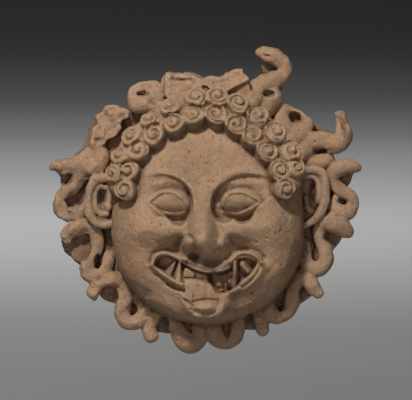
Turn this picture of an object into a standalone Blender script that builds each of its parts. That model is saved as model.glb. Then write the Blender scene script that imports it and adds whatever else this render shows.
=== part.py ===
"""Roof antefix of fired clay: a round grinning gorgon's face in a ring of rolled-clay snakes.

The back is flat and lies in the plane y = 0, where the clay joined its cover tile, and the face
looks towards -Y. +Z is up, and the origin is the middle of the back. Places on the front are
(x, z) pairs in modelling millimetres, MM below, which keep their share of the span. A depth is
measured forwards from the back, in metres.
"""

import math

import bmesh
import bpy
import numpy as np
from mathutils import Matrix, Vector

# Driving dimensions, in metres
SPAN = 0.249
PLATE_THICKNESS = 0.011
FACE_BULGE = 0.062
SLAB_THICKNESS = 0.035
SLAB_FOOT_THICKNESS = 0.027
FRAGMENT_THICKNESS = 0.0195
STUMP_THICKNESS = 0.018
SNAKE_DIAMETER = 0.0122
SNAKE_RISE = 0.0025
CURL_DIAMETER = 0.0170
CURL_LENGTH = 0.018
CURL_CORD_DIAMETER = 0.0030
HAIR_ROLL_DIAMETER = 0.021
HAIR_RISE = 0.015
BROKEN_COIL_DIAMETER = 0.0110
BROKEN_COIL_RISE = 0.011
BROKEN_COIL_HALF_AXES = (0.0150, 0.0170, 0.0126)
BROKEN_COIL_CORE_RISE = 0.003
EAR_RIM_DIAMETER = 0.0065
EAR_DEPTH = 0.024
EAR_LOBE_DIAMETER = 0.0105
EAR_KNOB_DIAMETER = 0.0080

# One modelling millimetre, which is a real one at the span above
MM = SPAN / 249

# How finely the clay is fused, and how much of that mesh is kept
FUSING_STEP = 0.0011
KEPT_SHARE = 0.0328

CLAY_COLOUR = (0.36, 0.225, 0.14, 1.0)
CLAY_ROUGHNESS = 0.9

# The head: an egg whose broad end is the jaw
HEAD_CENTRE = (1.6, -22.4)
HEAD_HALF_WIDTH = 77.5
JAW_HALF_HEIGHT = 77.5
CROWN_HALF_HEIGHT = 114
HEAD_FULLNESS = 2.06
PROFILE_FULLNESS = 2.7
RELIEF_FADE = 0.06

# Soft forms of the face: middle, half-axes, how far they stand proud, and how square their flanks are
SWELLINGS = {
    "left cheek": ((-52, -28), (20, 20), 4.5, 1.0),
    "right cheek": ((54, -26), (20, 20), 4.5, 1.0),
    "left smile hollow": ((-28, -42), (20, 9.5), -8.5, 1.0),
    "right smile hollow": ((28, -41.5), (19, 9.5), -8.5, 1.0),
    "muzzle": ((0, -62), (40, 12), 1.5, 1.4),
    "under the nose": ((3, -50), (18, 6), -4.5, 1.2),
    "nose tip": ((-0.4, -34), (9.5, 7.5), 2.8, 1.6),
    "left nostril wing": ((-13.8, -33.4), (4.8, 6.6), 14.0, 1.7),
    "right nostril wing": ((14.2, -34.8), (5.4, 6.2), 12.0, 1.6),
    "chin": ((1, -86), (25, 12), 6.0, 1.4),
}

# Sockets run out at the temple: outline, then where they have run out and over how wide a stretch
LEFT_SOCKET = ([(-49, 0), (-51, 10), (-48, 17), (-39, 19.8), (-30, 19.4), (-21, 16), (-14.5, 9.5), (-11.4, 2),
                (-10.8, -5), (-12.8, -11), (-15.6, -16), (-19.6, -20), (-24.6, -19.4), (-29, -15.6),
                (-36, -9.4), (-42, -4)], -50, 24)
RIGHT_SOCKET = ([(56, 7), (55, 14), (47, 17.6), (38, 19.8), (27, 19.6), (18, 16), (10.5, 10.5), (5.6, 3.5),
                 (4.4, -4), (5.6, -11), (9, -16), (14, -17.8), (19, -16.4), (22, -15.2), (25.5, -17.4),
                 (30, -18.4), (35, -15.6), (39, -9.4), (45, -2.4), (52, 3)], 57, 28)
SOCKET_EDGE = 2.4

# How deep a socket is at each height, and how much deeper beside the nose
SOCKET_DEPTHS = [(-20, 14), (-14, 14), (-10, 11.5), (-4, 9), (4, 8), (8, 7), (11, 5.4), (13.5, 3.6),
                 (18, 2.8)]
SOCKET_BY_NOSE = 4.0
SOCKET_BY_NOSE_WIDTH = 7.0
SOCKET_BY_NOSE_FROM = -8
SOCKET_BY_NOSE_FADE = 14

# The almond eyes as outlines, and the mound that carries each: middle, half-axes and height
LEFT_EYE = [(-44, -2.4), (-38.4, 2.7), (-34.4, 4.6), (-29.8, 5.1), (-25.8, 3.9), (-21.7, 1.4), (-18, -2.2),
            (-14.6, -7.6), (-22.1, -9.5), (-30.6, -9.0), (-36.4, -7.4), (-40, -5)]
RIGHT_EYE = [(14, -7.4), (16.5, 0.2), (19.2, 3.6), (24.8, 4.8), (31.2, 3.6), (36.8, 0.8), (41.2, -1.2),
             (36, -4.8), (32, -6.8), (25.9, -9.2), (20.6, -9.2)]
LEFT_MOUND = ((-29, -2.2), (17, 11.4), 7.4)
RIGHT_MOUND = ((28, -1.8), (16.6, 11.6), 7.6)
MOUND_FULLNESS = 0.45
EYE_RIM_DROP = 1.7
EYE_RIM_EDGE = 0.9
EYEBALL_RISE = 3.0
EYEBALL_REACH = 6.0

# The nose: height of each place up its ridge, with the ridge's offset, proud height and half-width
NOSE = [(24, -3, 0, 12), (12, -3.2, 1.2, 11), (0, -3.6, 3.6, 10), (-10, -3.8, 6.4, 10), (-18, -3.4, 9.2, 11),
        (-25, -2.0, 13.0, 12.6), (-31, -0.8, 16.2, 13.4), (-36, 0, 17.4, 13.4), (-40, 0.8, 15.4, 13),
        (-43, 1.2, 12, 12.4), (-45.4, 1.4, 6.4, 11), (-47.4, 1.4, 1.6, 10), (-50, 1.4, 0, 9)]
NOSE_FULLNESS = 1.2

# Rounded ridges: line, half-width and height
RIDGES = {
    "left brow": ([(-48, 21), (-38, 22), (-27, 20.4), (-17, 15), (-11, 8)], 2.8, 1.3),
    "right brow": ([(47, 20), (37, 22.4), (26, 22.6), (15, 18.6), (7, 11)], 2.8, 1.5),
    "left apple": ([(-54, -24), (-44, -22.5), (-33, -23), (-21, -25.5)], 8.0, 3.6),
    "right apple": ([(18, -25), (28, -23.5), (39, -21), (52, -17)], 8.0, 3.6),
    "left fold": ([(-20, -31), (-24, -35), (-30, -38)], 4.0, -2.6),
    "right fold": ([(19.5, -31), (24, -35), (30, -38)], 4.0, -2.6),
    "left lip and cheek": ([(-50, -36), (-56, -48), (-52, -62)], 9.0, 2.0),
    "right lip and cheek": ([(50, -33), (57, -46), (53, -62)], 9.0, 2.0),
    "upper lip, left": ([(-42.2, -50.6), (-40.4, -45.6), (-36.4, -43), (-30.4, -42.6), (-23, -45.4),
                         (-16, -47.4)], 2.0, 4.4),
    "upper lip, middle": ([(-17, -47.2), (-12, -48.8), (-8, -51), (0, -53.4), (8, -53.6), (15, -51.6),
                           (19, -49)], 2.0, 2.2),
    "upper lip, right": ([(19, -48.8), (20.4, -47.8), (24, -44), (28, -42), (34, -42.4), (40, -45.2),
                          (43.8, -50)], 2.0, 4.2),
    "left lower lip": ([(-43, -52), (-38.5, -55.6), (-34.4, -58.8), (-29.9, -62), (-25.8, -64.4),
                        (-21.8, -66.2), (-17.7, -67.6)], 2.0, 4.4),
    "right lower lip": ([(45.4, -52), (43, -57.5), (39, -63.5), (33.5, -68.4), (26, -70.6), (19, -73),
                         (14, -77.5), (12, -83)], 3.2, 2.4),
    "chin under the tongue": ([(-18, -74), (-15.4, -83), (-11, -90), (-0.8, -94), (11.2, -90.6), (17, -81.6),
                               (18.6, -74)], 3.6, 3.4),
}

# The open mouth and what stands in it, each at a level of its own: outline, edge and level
MOUTH_FLOOR = -13.0
MOUTH = [(-41, -51.6), (-39.4, -48.2), (-34.5, -46.4), (-29, -46.6), (-24, -48.8), (-18, -51.4),
         (-12.8, -54), (-7, -56.4), (1.5, -58.2), (10, -57.6), (18.5, -54.8), (21.6, -50.8), (24.4, -47.6),
         (29, -46.2), (35, -46.8), (40.4, -49.8), (40.5, -52.5), (38, -56.5), (33, -61), (27.5, -65.5),
         (23, -69), (19, -72), (12, -74), (0, -70), (-17.5, -66), (-24.8, -62.6), (-31, -58.6), (-36, -55)]
UPPER_TEETH = [(-17, -54), (-10, -56), (0.2, -59), (1.4, -61.5), (0.6, -66), (-17, -66)]
BROKEN_TEETH = [(5, -58), (12, -59), (20, -56), (25.5, -51), (26.5, -58), (26.5, -66), (20, -71),
                (10, -74), (6, -69)]
INNER_LIP = [(26.6, -66), (33, -60.6), (37.6, -56), (40.8, -49.6), (42.6, -51), (41, -56.4),
             (36.4, -62), (29, -68.2)]
MOUTH_LEVELS = [(MOUTH, 1.4, MOUTH_FLOOR), (UPPER_TEETH, 1.4, -4.6), (BROKEN_TEETH, 3.0, -8.5),
                (INNER_LIP, 2.2, 2.6)]

# Fangs as spikes: middle of the root, tip, half-width at the root and height over the mouth's floor
SPIKES = [((-30.6, -61.5), (-22.2, -47.6), 5.4, 9.0), ((-21.4, -65), (-20.5, -47.6), 5.0, 13.4)]
SPIKE_BLUNTNESS = 0.5
SPIKE_TAPER = 0.3
SPIKE_FULLNESS = 1.6

# Worn teeth on the right as ridges: line, half-width and height over the mouth's floor
EYETEETH = [([(22.6, -49.5), (23.4, -58), (22.6, -69)], 3.0, 10.5),
            ([(29.4, -51.4), (31, -54.4), (33.5, -57)], 3.2, 12.4),
            ([(16.4, -59), (15.6, -66), (17.4, -74)], 2.4, 7.0)]

# The tongue hangs straight down before the chin: its levels, and how much its middle is domed
TONGUE = [(-17.6, -65), (-16.4, -63), (-8, -62.8), (0.6, -65), (4.6, -67.6), (7.6, -72.6), (9.2, -76.8),
          (11.4, -79.4), (9.4, -84), (8, -88.6), (2, -91), (-6, -90.8), (-11, -87.4), (-12.4, -82),
          (-16.6, -80)]
TONGUE_EDGE = 2.2
TONGUE_ROOT_LEVEL = 1.6
TONGUE_SLOPE = -0.30
TONGUE_LOWEST_GAIN = 6.6
TONGUE_DOME = 1.6
TONGUE_DOME_REACH = 8

# The hair's mass: its layers below the front curls' faces, in roll diameters
HAIR_LAYERS = (0.65, 1.1, 1.6, 2.1)

# How far each row of curls turns outwards, and how far it is set back, in roll diameters
FRONT_ROW = (0.5, 0.0)
BACK_ROW = (0.8, 0.22)

# Middles of the curls, front row and back row, from the left ear over the brow to the right ear
FRONT_CURLS = [(-66, 8.3), (-63.2, 24), (-54.8, 40.8), (-42.4, 53.2), (-26, 63.2), (-10, 69.6),
               (8.4, 69.8), (25.2, 61.8), (38.4, 52.8), (50.4, 40.4), (60.4, 24.4), (64.4, 8.8)]
BACK_CURLS = [(-76.3, 21.3), (-70.2, 37.6), (-61.2, 52.8), (-44.6, 65), (-28, 76), (-8, 81.3),
              (9.4, 81.9), (25.6, 77.1), (41.6, 67.7), (56, 54.8), (68.6, 40.4), (73.2, 26.6)]

# The plate's round rim behind the head, and its own middle
RIM_HALF_WIDTH = 88
RIM_HALF_HEIGHT = 91
RIM_CENTRE = (1.6, -17.4)
RIM_CORNERS = 48

# Each snake from its head, or its broken end, to where it dives under: x, z and girth in snake diameters
SNAKES = [
    [(-121, 26.4, 0.66), (-116.8, 26.6, 0.94), (-109.6, 26.8, 0.98), (-102.4, 25.2, 0.98),
     (-101.6, 18.4, 1.02), (-107.2, 10.4, 0.94), (-115.2, 4, 0.94), (-117.2, -3.2, 0.98),
     (-114.4, -10.4, 1.02), (-106.4, -11.2, 1.02), (-98.4, -7.2, 0.98), (-93.6, -2.4, 0.82)],
    [(-112, -28.8, 0.98), (-106.4, -24, 1.06), (-98.4, -20.8, 0.94), (-90.4, -22.8, 0.94),
     (-86.4, -30.4, 0.98), (-88, -40, 0.98), (-92.8, -48, 0.98), (-95.2, -55.2, 1.02),
     (-91.2, -60.8, 1.06), (-84, -58.4, 1.06), (-79.2, -51.2, 0.98), (-77.6, -44, 0.82)],
    [(-90.4, -74.4, 0.98), (-86.4, -68.8, 0.98), (-79.2, -64, 0.98), (-70.4, -63.2, 0.98),
     (-64.8, -69.6, 1.02), (-64, -80, 1.02), (-66.4, -90.4, 1.06), (-63.2, -97.6, 1.15),
     (-55.2, -96.8, 1.15), (-49.6, -90.4, 1.23), (-50.4, -82.4, 1.23), (-55.2, -76.8, 1.06)],
    [(-44, -108.8, 0.98), (-45.6, -100.8, 0.98), (-40.8, -92, 0.98), (-32.8, -89.6, 0.98),
     (-26.4, -96, 0.98), (-22.4, -104.8, 1.06), (-16.8, -113.6, 1.23), (-9.6, -115.4, 1.06),
     (-5.6, -108.8, 0.98), (-6.4, -100.8, 0.98)],
    [(5.6, -97.6, 1.15), (7.2, -107.2, 1.15), (14.4, -113, 1.15), (22.4, -110, 1.15),
     (25.6, -100.8, 1.06), (28, -91.2, 1.06), (33.6, -85.6, 0.98), (40.8, -89.6, 0.90),
     (44, -97.6, 0.82), (44.8, -104, 0.82)],
    [(89.6, -74.4, 0.82), (84.8, -68, 1.06), (80, -63.2, 0.98), (72.8, -62.4, 1.02), (70.4, -72, 1.06),
     (68.8, -82.4, 1.06), (62.4, -91, 1.10), (54.4, -91.4, 1.10), (49.6, -84.8, 1.06),
     (51.2, -76, 1.06)],
    [(113.6, -26, 0.74), (110.4, -23.6, 1.06), (104.4, -19.4, 1.35), (97.6, -17.2, 1.23),
     (91.2, -20.8, 0.98), (90.4, -28.8, 0.90), (92, -34, 0.94), (95.2, -40, 0.98), (96, -48, 1.02),
     (91.2, -55, 1.10), (84, -53.6, 1.06), (79.2, -46.4, 1.06), (78.4, -36, 1.06)],
    [(120.6, 26.2, 0.58), (116, 26.8, 0.86), (108.8, 25.6, 0.98), (102.4, 21.6, 0.94),
     (101.6, 14.4, 0.90), (108, 8, 0.90), (115.2, 3.2, 0.90), (117.6, -3.2, 0.94), (113.6, -9.6, 0.98),
     (106.4, -9.6, 1.06), (101.6, -4, 0.90), (102.8, 0.8, 0.66)],
    [(107.2, 67.4, 0.66), (108, 61.6, 0.94), (109.6, 52.8, 1.27), (103.2, 46.4, 1.39),
     (92.8, 47.2, 1.39), (83.2, 45.6, 1.39), (78.4, 40, 1.39), (80, 32, 1.23), (88, 29.6, 1.15),
     (96, 32, 0.98)],
    [(62.4, 70.4, 1.06), (60.8, 64, 1.35), (62.4, 56, 1.48), (69.6, 52.8, 1.39), (76.8, 55.2, 1.31),
     (79.2, 60, 1.06)],
    [(44, 118, 0.66), (48, 117.4, 0.98), (54.4, 115, 1.15), (60.4, 111, 1.10),
     (63.2, 105.6, 1.02), (60.8, 99.2, 1.10), (53.6, 95.2, 1.19), (44.8, 91.2, 1.31),
     (38.4, 85.6, 1.39), (40, 79.2, 1.39), (47.2, 76, 1.31), (54.4, 78, 1.15), (56.4, 82.4, 0.90)],
]

# Clay left between the loops, flush with the plate
WEBS = [
    [(-119, 22), (-106, 30), (-80, 36), (-78, -18), (-114, -14), (-118, 2), (-114, 10)],
    [(-115, -33), (-113, -41), (-102, -49), (-93, -60), (-78, -60), (-76, -14), (-102, -14)],
    [(-90, -72), (-82, -80), (-70, -87), (-62, -97), (-50, -99), (-44, -90), (-40, -60), (-84, -60)],
    [(-45, -106), (-28, -106.5), (-20, -108), (-10, -116), (-2, -112), (6, -108), (16, -113), (24, -108),
     (32, -104.5), (44, -104.5), (46, -84), (0, -80), (-44, -84)],
    [(52, -86), (60, -93), (68, -88), (74, -84), (88, -74), (84, -60), (60, -60), (44, -76)],
    [(76, -63), (84, -63), (91, -56), (100, -52), (101, -42), (111, -28), (104, -12), (80, -12)],
    [(119, 24), (105, 24), (100, 30), (76, 36), (76, -16), (104, -12), (115, -10), (118, 0), (112, 8),
     (116, 15)],
    [(98, 36), (110, 42), (108, 52), (86, 60), (79, 67), (67, 74), (54, 76), (38, 58), (60, 20), (80, 30)],
    [(45.5, 112), (45.5, 101.5), (43, 94), (33, 89), (33, 66), (62, 66), (58, 80), (62, 92), (65, 105),
     (58, 114)],
]

# Breaks above the hair, on the left
SLAB_LEFT = [(-34, 84), (-33.4, 90), (-33.6, 96), (-30.5, 100.5), (-23, 100.4), (-13, 101.6), (-9, 100.6),
             (-5, 98.5), (-2, 96.8), (-3, 90), (-5, 82), (-20, 78), (-30, 80)]
SLAB_RIGHT = [(-4, 92), (-3, 97), (4, 97.4), (10.5, 97.5), (15, 100.4), (20.5, 103), (28.5, 104.5),
              (29.6, 101), (33, 96.6), (31.2, 95), (24.4, 91.4), (16.6, 87), (9.6, 86.2), (4.8, 88), (1, 91)]
SLAB_FOOT = [(-34, 76), (-33, 90), (0, 95), (14, 95), (31, 98), (37, 97), (42, 86), (34, 76), (0, 72)]
BROKEN_COIL = [(-57.6, 79), (-56.6, 86), (-50, 90.6), (-43, 91), (-39.4, 86), (-40.4, 79), (-47, 75.4),
               (-54.2, 75), (-57.6, 79)]
BROKEN_COIL_MIDDLE = (-48.4, 81.4)
RECESS = [(-89.5, 68), (-74.5, 74), (-58, 71), (-36, 76), (-50, 50), (-76, 14), (-101, 32), (-94, 60)]
FRAGMENT = [(-89.6, 68), (-82.4, 74.4), (-74.4, 76), (-65.6, 73.6), (-62, 71.2), (-62.4, 66.4), (-67.6, 63.2),
            (-68.4, 57.6), (-72.8, 51.2), (-79.2, 48.8), (-82.4, 44), (-94.4, 40), (-92.4, 46.4), (-90.6, 52),
            (-91.4, 58), (-89, 62)]
STUMP = [(-105.6, 34.8), (-94.4, 42.6), (-82.4, 46.4), (-79.4, 40), (-79, 32), (-83.4, 23.6), (-91, 18.4),
         (-99, 21), (-102.4, 28)]
# The lump on the stump: x, z and girth in coil diameters
STUMP_ROLL = [(-97, 25, 1.18), (-88.6, 27, 1.45), (-84.6, 34, 1.27)]

# Ear rims, from the hair down to the lobe, and the curls' own spiral
EAR_LOBE = (81, -13)
EAR_KNOB = (78, -4)
EAR_ROOT = 70
EAR_ROOT_RISE = 9
EAR_SHOULDER = 82
EAR_SHOULDER_RISE = 6
LEFT_EAR = [(-77, 16.5), (-82, 17.6), (-88, 16), (-92.4, 10), (-94, 0), (-92.6, -10), (-89, -17), (-82, -20),
            (-76, -19)]
RIGHT_EAR = [(79, 23.5), (86, 24), (92.4, 21), (95.4, 13), (95, 0), (91.6, -9.6), (86, -16), (79, -20)]
SPIRAL_TURNS = 1.25
SPIRAL_CLOSING = 0.82
SPIRAL_POINTS = 22


def at(x, z, depth):
    """The point of the model at this place of the front and this far forward of the back."""
    return Vector((x * MM, -depth, z * MM))


def closed(points):
    return points + points[:1]


def line_distance(x, z, points):
    """How far each place is from the bent line through the points."""
    nearest = np.full(x.shape, np.inf)
    for (x0, z0), (x1, z1) in zip(points, points[1:]):
        run_x, run_z = x1 - x0, z1 - z0
        along = ((x - x0) * run_x + (z - z0) * run_z) / (run_x ** 2 + run_z ** 2)
        along = np.clip(along, 0, 1)
        nearest = np.minimum(nearest, np.hypot(x - x0 - along * run_x, z - z0 - along * run_z))
    return nearest


def inside_distance(x, z, outline):
    """How far inside the closed outline each place is, negative outside it."""
    inside = np.zeros(x.shape, bool)
    for (x0, z0), (x1, z1) in zip(outline, closed(outline)[1:]):
        if z0 != z1:
            inside ^= ((z0 > z) != (z1 > z)) & (x < (x1 - x0) * (z - z0) / (z1 - z0) + x0)
    distance = line_distance(x, z, closed(outline))
    return np.where(inside, distance, -distance)


def step(value, edge):
    """0 below nought, 1 above the edge's width, smooth between."""
    share = np.clip(value / edge, 0, 1)
    return share * share * (3 - 2 * share)


def swell(x, z, middle, half_axes, height, steep):
    """A smooth swelling, or a hollow where the height is negative."""
    across = (x - middle[0]) / half_axes[0]
    up = (z - middle[1]) / half_axes[1]
    return height * np.exp(-(across ** 2 + up ** 2) ** steep)


def ridge(x, z, points, half_width, height):
    return height * np.exp(-(line_distance(x, z, points) / half_width) ** 2)


def within(x, z, outline, edge):
    """1 inside the outline and 0 outside it, over an edge this wide."""
    return step(inside_distance(x, z, outline) + edge / 2, edge)


def socket(x, z, outline, fade):
    """A hollow that is shallow under the brow, and deep beside the nose and over the cheek."""
    heights, depths = np.array(SOCKET_DEPTHS, float).T
    inner = min((place[0] for place in outline), key=lambda reach: abs(reach - HEAD_CENTRE[0]))
    by_nose = np.exp(-((x - inner) / SOCKET_BY_NOSE_WIDTH) ** 2)
    by_nose = SOCKET_BY_NOSE * by_nose * step(z - SOCKET_BY_NOSE_FROM, SOCKET_BY_NOSE_FADE)
    return -(np.interp(z, heights, depths) + by_nose) * within(x, z, outline, SOCKET_EDGE) * fade


def set_eye(relief, x, z, outline, mound, fade):
    """The relief with a bulging mound and an almond eyeball set in it."""
    (middle_x, middle_z), (half_x, half_z), height = mound
    reach = ((x - middle_x) / half_x) ** 2 + ((z - middle_z) / half_z) ** 2
    relief = relief + fade * height * np.clip(1 - reach, 0, 1) ** MOUND_FULLNESS
    share = np.clip(inside_distance(x, z, outline) / EYEBALL_REACH, 0, 1)
    ball = EYEBALL_RISE * np.sqrt(1 - (1 - share) ** 2)
    return relief + ball - EYE_RIM_DROP * within(x, z, outline, EYE_RIM_EDGE)


def nose(x, z):
    heights, offsets, proud, widths = np.array(NOSE, float)[::-1].T
    across = np.clip(np.abs(x - np.interp(z, heights, offsets)) / np.interp(z, heights, widths), 0, 1)
    return np.interp(z, heights, proud) * (1 - across ** 2) ** NOSE_FULLNESS


def spike(x, z, root, tip, half_width, height):
    """A tooth's height along and across its axis, below nought outside it."""
    run_x, run_z = tip[0] - root[0], tip[1] - root[1]
    length = math.hypot(run_x, run_z)
    along = np.clip(((x - root[0]) * run_x + (z - root[1]) * run_z) / length ** 2, 0, 1)
    away = np.hypot(x - root[0] - along * run_x, z - root[1] - along * run_z)
    share = away / (half_width * (1 - along) + SPIKE_BLUNTNESS)
    return height * (1 - SPIKE_TAPER * along) * (1 - share ** SPIKE_FULLNESS)


def face_relief(x, z):
    """How far the face stands proud of the plain head at each place, in modelling millimetres."""
    relief = sum(swell(x, z, *form) for form in SWELLINGS.values())
    for (outline, temple, run_out), eye, mound in ((LEFT_SOCKET, LEFT_EYE, LEFT_MOUND),
                                                   (RIGHT_SOCKET, RIGHT_EYE, RIGHT_MOUND)):
        fade = step(np.abs(x - temple), run_out)
        relief = set_eye(relief + socket(x, z, outline, fade), x, z, eye, mound, fade)
    relief += nose(x, z) + sum(ridge(x, z, *form) for form in RIDGES.values())
    for outline, edge, level in MOUTH_LEVELS:
        relief += (level - relief) * within(x, z, outline, edge)
    for form in SPIKES:
        relief = np.maximum(relief, MOUTH_FLOOR + spike(x, z, *form))
    for line, half_width, height in EYETEETH:
        near = line_distance(x, z, line) < 2 * half_width
        tooth = MOUTH_FLOOR + ridge(x, z, line, half_width, height)
        relief = np.where(near, np.maximum(relief, tooth), relief)
    gain = np.minimum(TONGUE_SLOPE * (z - TONGUE[1][1]), TONGUE_LOWEST_GAIN)
    dome = TONGUE_DOME * (step(inside_distance(x, z, TONGUE), TONGUE_DOME_REACH) - 1)
    tongue_level = TONGUE_ROOT_LEVEL + gain + dome
    return relief + (tongue_level - relief) * within(x, z, TONGUE, TONGUE_EDGE)


def head_depth(x, z, relief):
    """The depth of the head's surface at each place, with its relief, in modelling millimetres."""
    from_x = np.abs(x - HEAD_CENTRE[0])
    from_z = z - HEAD_CENTRE[1]
    half_height = np.where(from_z > 0, CROWN_HALF_HEIGHT, JAW_HALF_HEIGHT)
    reach = (from_x / (HEAD_HALF_WIDTH + relief)) ** HEAD_FULLNESS
    reach += (np.abs(from_z) / (half_height + relief)) ** HEAD_FULLNESS
    sunk = np.clip(1 - reach ** (PROFILE_FULLNESS / HEAD_FULLNESS), 0, 1) ** (1 / PROFILE_FULLNESS)
    plate = PLATE_THICKNESS / MM
    return plate + (FACE_BULGE / MM - plate + relief) * sunk


def plain_head_depth(x, z):
    """The depth of the head without its relief at one place, in metres."""
    return float(head_depth(np.array([x]), np.array([z]), np.zeros(1))[0]) * MM


def mesh_of(curve, matrix):
    """The evaluated mesh of a curve, its loose caps welded. The curve is removed."""
    holder = bpy.data.objects.new(curve.name, curve)
    bpy.context.scene.collection.objects.link(holder)
    bpy.context.view_layer.update()
    mesh = bpy.data.meshes.new_from_object(holder.evaluated_get(bpy.context.evaluated_depsgraph_get()))
    bpy.data.objects.remove(holder)
    bpy.data.curves.remove(curve)
    piece = bmesh.new()
    piece.from_mesh(mesh)
    bmesh.ops.remove_doubles(piece, verts=piece.verts, dist=1e-6)
    bmesh.ops.recalc_face_normals(piece, faces=piece.faces)
    bmesh.ops.transform(piece, matrix=matrix, verts=piece.verts)
    piece.to_mesh(mesh)
    piece.free()
    return mesh


def sphere_mesh(segments, rings, matrix):
    mesh = bpy.data.meshes.new("sphere")
    piece = bmesh.new()
    bmesh.ops.create_uvsphere(piece, u_segments=segments, v_segments=rings, radius=1, matrix=matrix)
    piece.to_mesh(mesh)
    piece.free()
    return mesh


def peg_mesh(radius, length, matrix):
    mesh = bpy.data.meshes.new("peg")
    piece = bmesh.new()
    bmesh.ops.create_cone(piece, cap_ends=True, segments=20, radius1=radius, radius2=radius,
                          depth=length, matrix=matrix)
    piece.to_mesh(mesh)
    piece.free()
    return mesh


def add_head(clay):
    mesh = sphere_mesh(288, 192, Matrix())
    unit = np.empty(3 * len(mesh.vertices))
    mesh.vertices.foreach_get("co", unit)
    unit = unit.reshape(-1, 3)
    x = HEAD_CENTRE[0] + HEAD_HALF_WIDTH * unit[:, 0]
    half_height = np.where(unit[:, 2] > 0, CROWN_HALF_HEIGHT, JAW_HALF_HEIGHT)
    z = HEAD_CENTRE[1] + half_height * unit[:, 2]
    rim = np.hypot(unit[:, 0], unit[:, 2])
    relief = face_relief(x, z) * step(1 - rim, RELIEF_FADE)
    # A place on the sphere's rim falls just inside the fuller head's, so the plate hides the join.
    depth = np.where(unit[:, 1] < 0, head_depth(x, z, relief), 0)
    mesh.vertices.foreach_set("co", (np.stack([x, -depth, z], axis=1) * MM).ravel())
    clay.append(mesh)


def add_roll(clay, points, diameter, girths):
    """A roll of clay along the points, its diameter scaled at each of them."""
    curve = bpy.data.curves.new("roll", "CURVE")
    curve.dimensions = "3D"
    curve.bevel_depth = diameter / 2
    curve.bevel_resolution = 3
    curve.resolution_u = 6
    curve.use_fill_caps = True
    spline = curve.splines.new("BEZIER")
    spline.bezier_points.add(len(points) - 1)
    for knot, point, girth in zip(spline.bezier_points, points, girths):
        knot.co = point
        knot.radius = girth
        knot.handle_left_type = knot.handle_right_type = "AUTO"
    clay.append(mesh_of(curve, Matrix()))


def add_ball(clay, centre, radius):
    clay.append(sphere_mesh(24, 16, Matrix.Translation(centre) @ Matrix.Scale(radius, 4)))


def add_slab(clay, outline, thickness):
    """A flat outline as thick as this from the back, and a little behind it, for the wall cut."""
    curve = bpy.data.curves.new("slab", "CURVE")
    curve.dimensions = "2D"
    curve.fill_mode = "BOTH"
    behind = PLATE_THICKNESS / 2
    curve.extrude = (thickness + behind) / 2
    spline = curve.splines.new("POLY")
    spline.points.add(len(outline) - 1)
    for corner, (x, z) in zip(spline.points, outline):
        corner.co = (x * MM, z * MM, 0, 1)
    spline.use_cyclic_u = True
    upright = Matrix.Rotation(math.radians(90), 4, "X")
    clay.append(mesh_of(curve, Matrix.Translation((0, (behind - thickness) / 2, 0)) @ upright))


def add_plate(clay):
    turns = [2 * math.pi * k / RIM_CORNERS for k in range(RIM_CORNERS)]
    rim = [(RIM_CENTRE[0] + RIM_HALF_WIDTH * math.cos(turn), RIM_CENTRE[1] + RIM_HALF_HEIGHT * math.sin(turn))
           for turn in turns]
    for outline in [rim, RECESS] + WEBS:
        add_slab(clay, outline, PLATE_THICKNESS)


def add_snakes(clay):
    """Rolls sunk in the plate, whose girth swells at the head and on the bends."""
    for places in SNAKES:
        points = [at(x, z, PLATE_THICKNESS + SNAKE_RISE) for x, z, girth in places]
        girths = [girth for x, z, girth in places]
        add_roll(clay, points, SNAKE_DIAMETER, girths)
        add_ball(clay, points[0], girths[0] * SNAKE_DIAMETER / 2)
        add_ball(clay, points[-1], girths[-1] * SNAKE_DIAMETER / 2)


def hair_depth(x, z):
    """The depth of the front curls' faces at one place of the hair, in metres."""
    return plain_head_depth(x, z) + HAIR_RISE


def add_hair_roll(clay):
    """The mass of hair that carries both rows of curls, down to the plate."""
    middles = [(0.6 * fx + 0.4 * bx, 0.6 * fz + 0.4 * bz)
               for (fx, fz), (bx, bz) in zip(FRONT_CURLS, BACK_CURLS)]
    for drop in HAIR_LAYERS:
        points = [at(x, z, max(PLATE_THICKNESS, hair_depth(*front) - drop * HAIR_ROLL_DIAMETER))
                  for (x, z), front in zip(middles, FRONT_CURLS)]
        add_roll(clay, points, HAIR_ROLL_DIAMETER, [1.0] * len(points))


def add_curl(clay, centre, facing, turn_way):
    """A snail curl: a short peg of clay with a spiral on its end."""
    frame = Matrix.Translation(centre) @ facing.to_track_quat("Z", "Y").to_matrix().to_4x4()
    radius = CURL_DIAMETER / 2
    clay.append(peg_mesh(radius, CURL_LENGTH, frame @ Matrix.Translation((0, 0, -CURL_LENGTH / 2))))
    cord = CURL_CORD_DIAMETER / 2
    curve = bpy.data.curves.new("spiral", "CURVE")
    curve.dimensions = "3D"
    curve.bevel_depth = cord
    curve.bevel_resolution = 2
    curve.use_fill_caps = True
    spline = curve.splines.new("POLY")
    spline.points.add(SPIRAL_POINTS - 1)
    for k, knot in enumerate(spline.points):
        share = k / (SPIRAL_POINTS - 1)
        reach = (radius - cord) * (1 - SPIRAL_CLOSING * share)
        angle = turn_way * 2 * math.pi * SPIRAL_TURNS * share
        knot.co = (reach * math.cos(angle), reach * math.sin(angle), cord / 2, 1)
    clay.append(mesh_of(curve, frame))


def add_curls(clay):
    """Front curls look forwards, and back curls up and outwards."""
    middle = Vector((HEAD_CENTRE[0] * MM, 0, 0))
    for row, (outward, set_back) in ((FRONT_CURLS, FRONT_ROW), (BACK_CURLS, BACK_ROW)):
        for (x, z), (front_x, front_z) in zip(row, FRONT_CURLS):
            centre = at(x, z, hair_depth(front_x, front_z) - set_back * HAIR_ROLL_DIAMETER)
            away = Vector((centre.x, 0, centre.z)) - middle
            add_curl(clay, centre, away.normalized() * outward + Vector((0, -1, 0)), 1 if x < 0 else -1)


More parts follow.
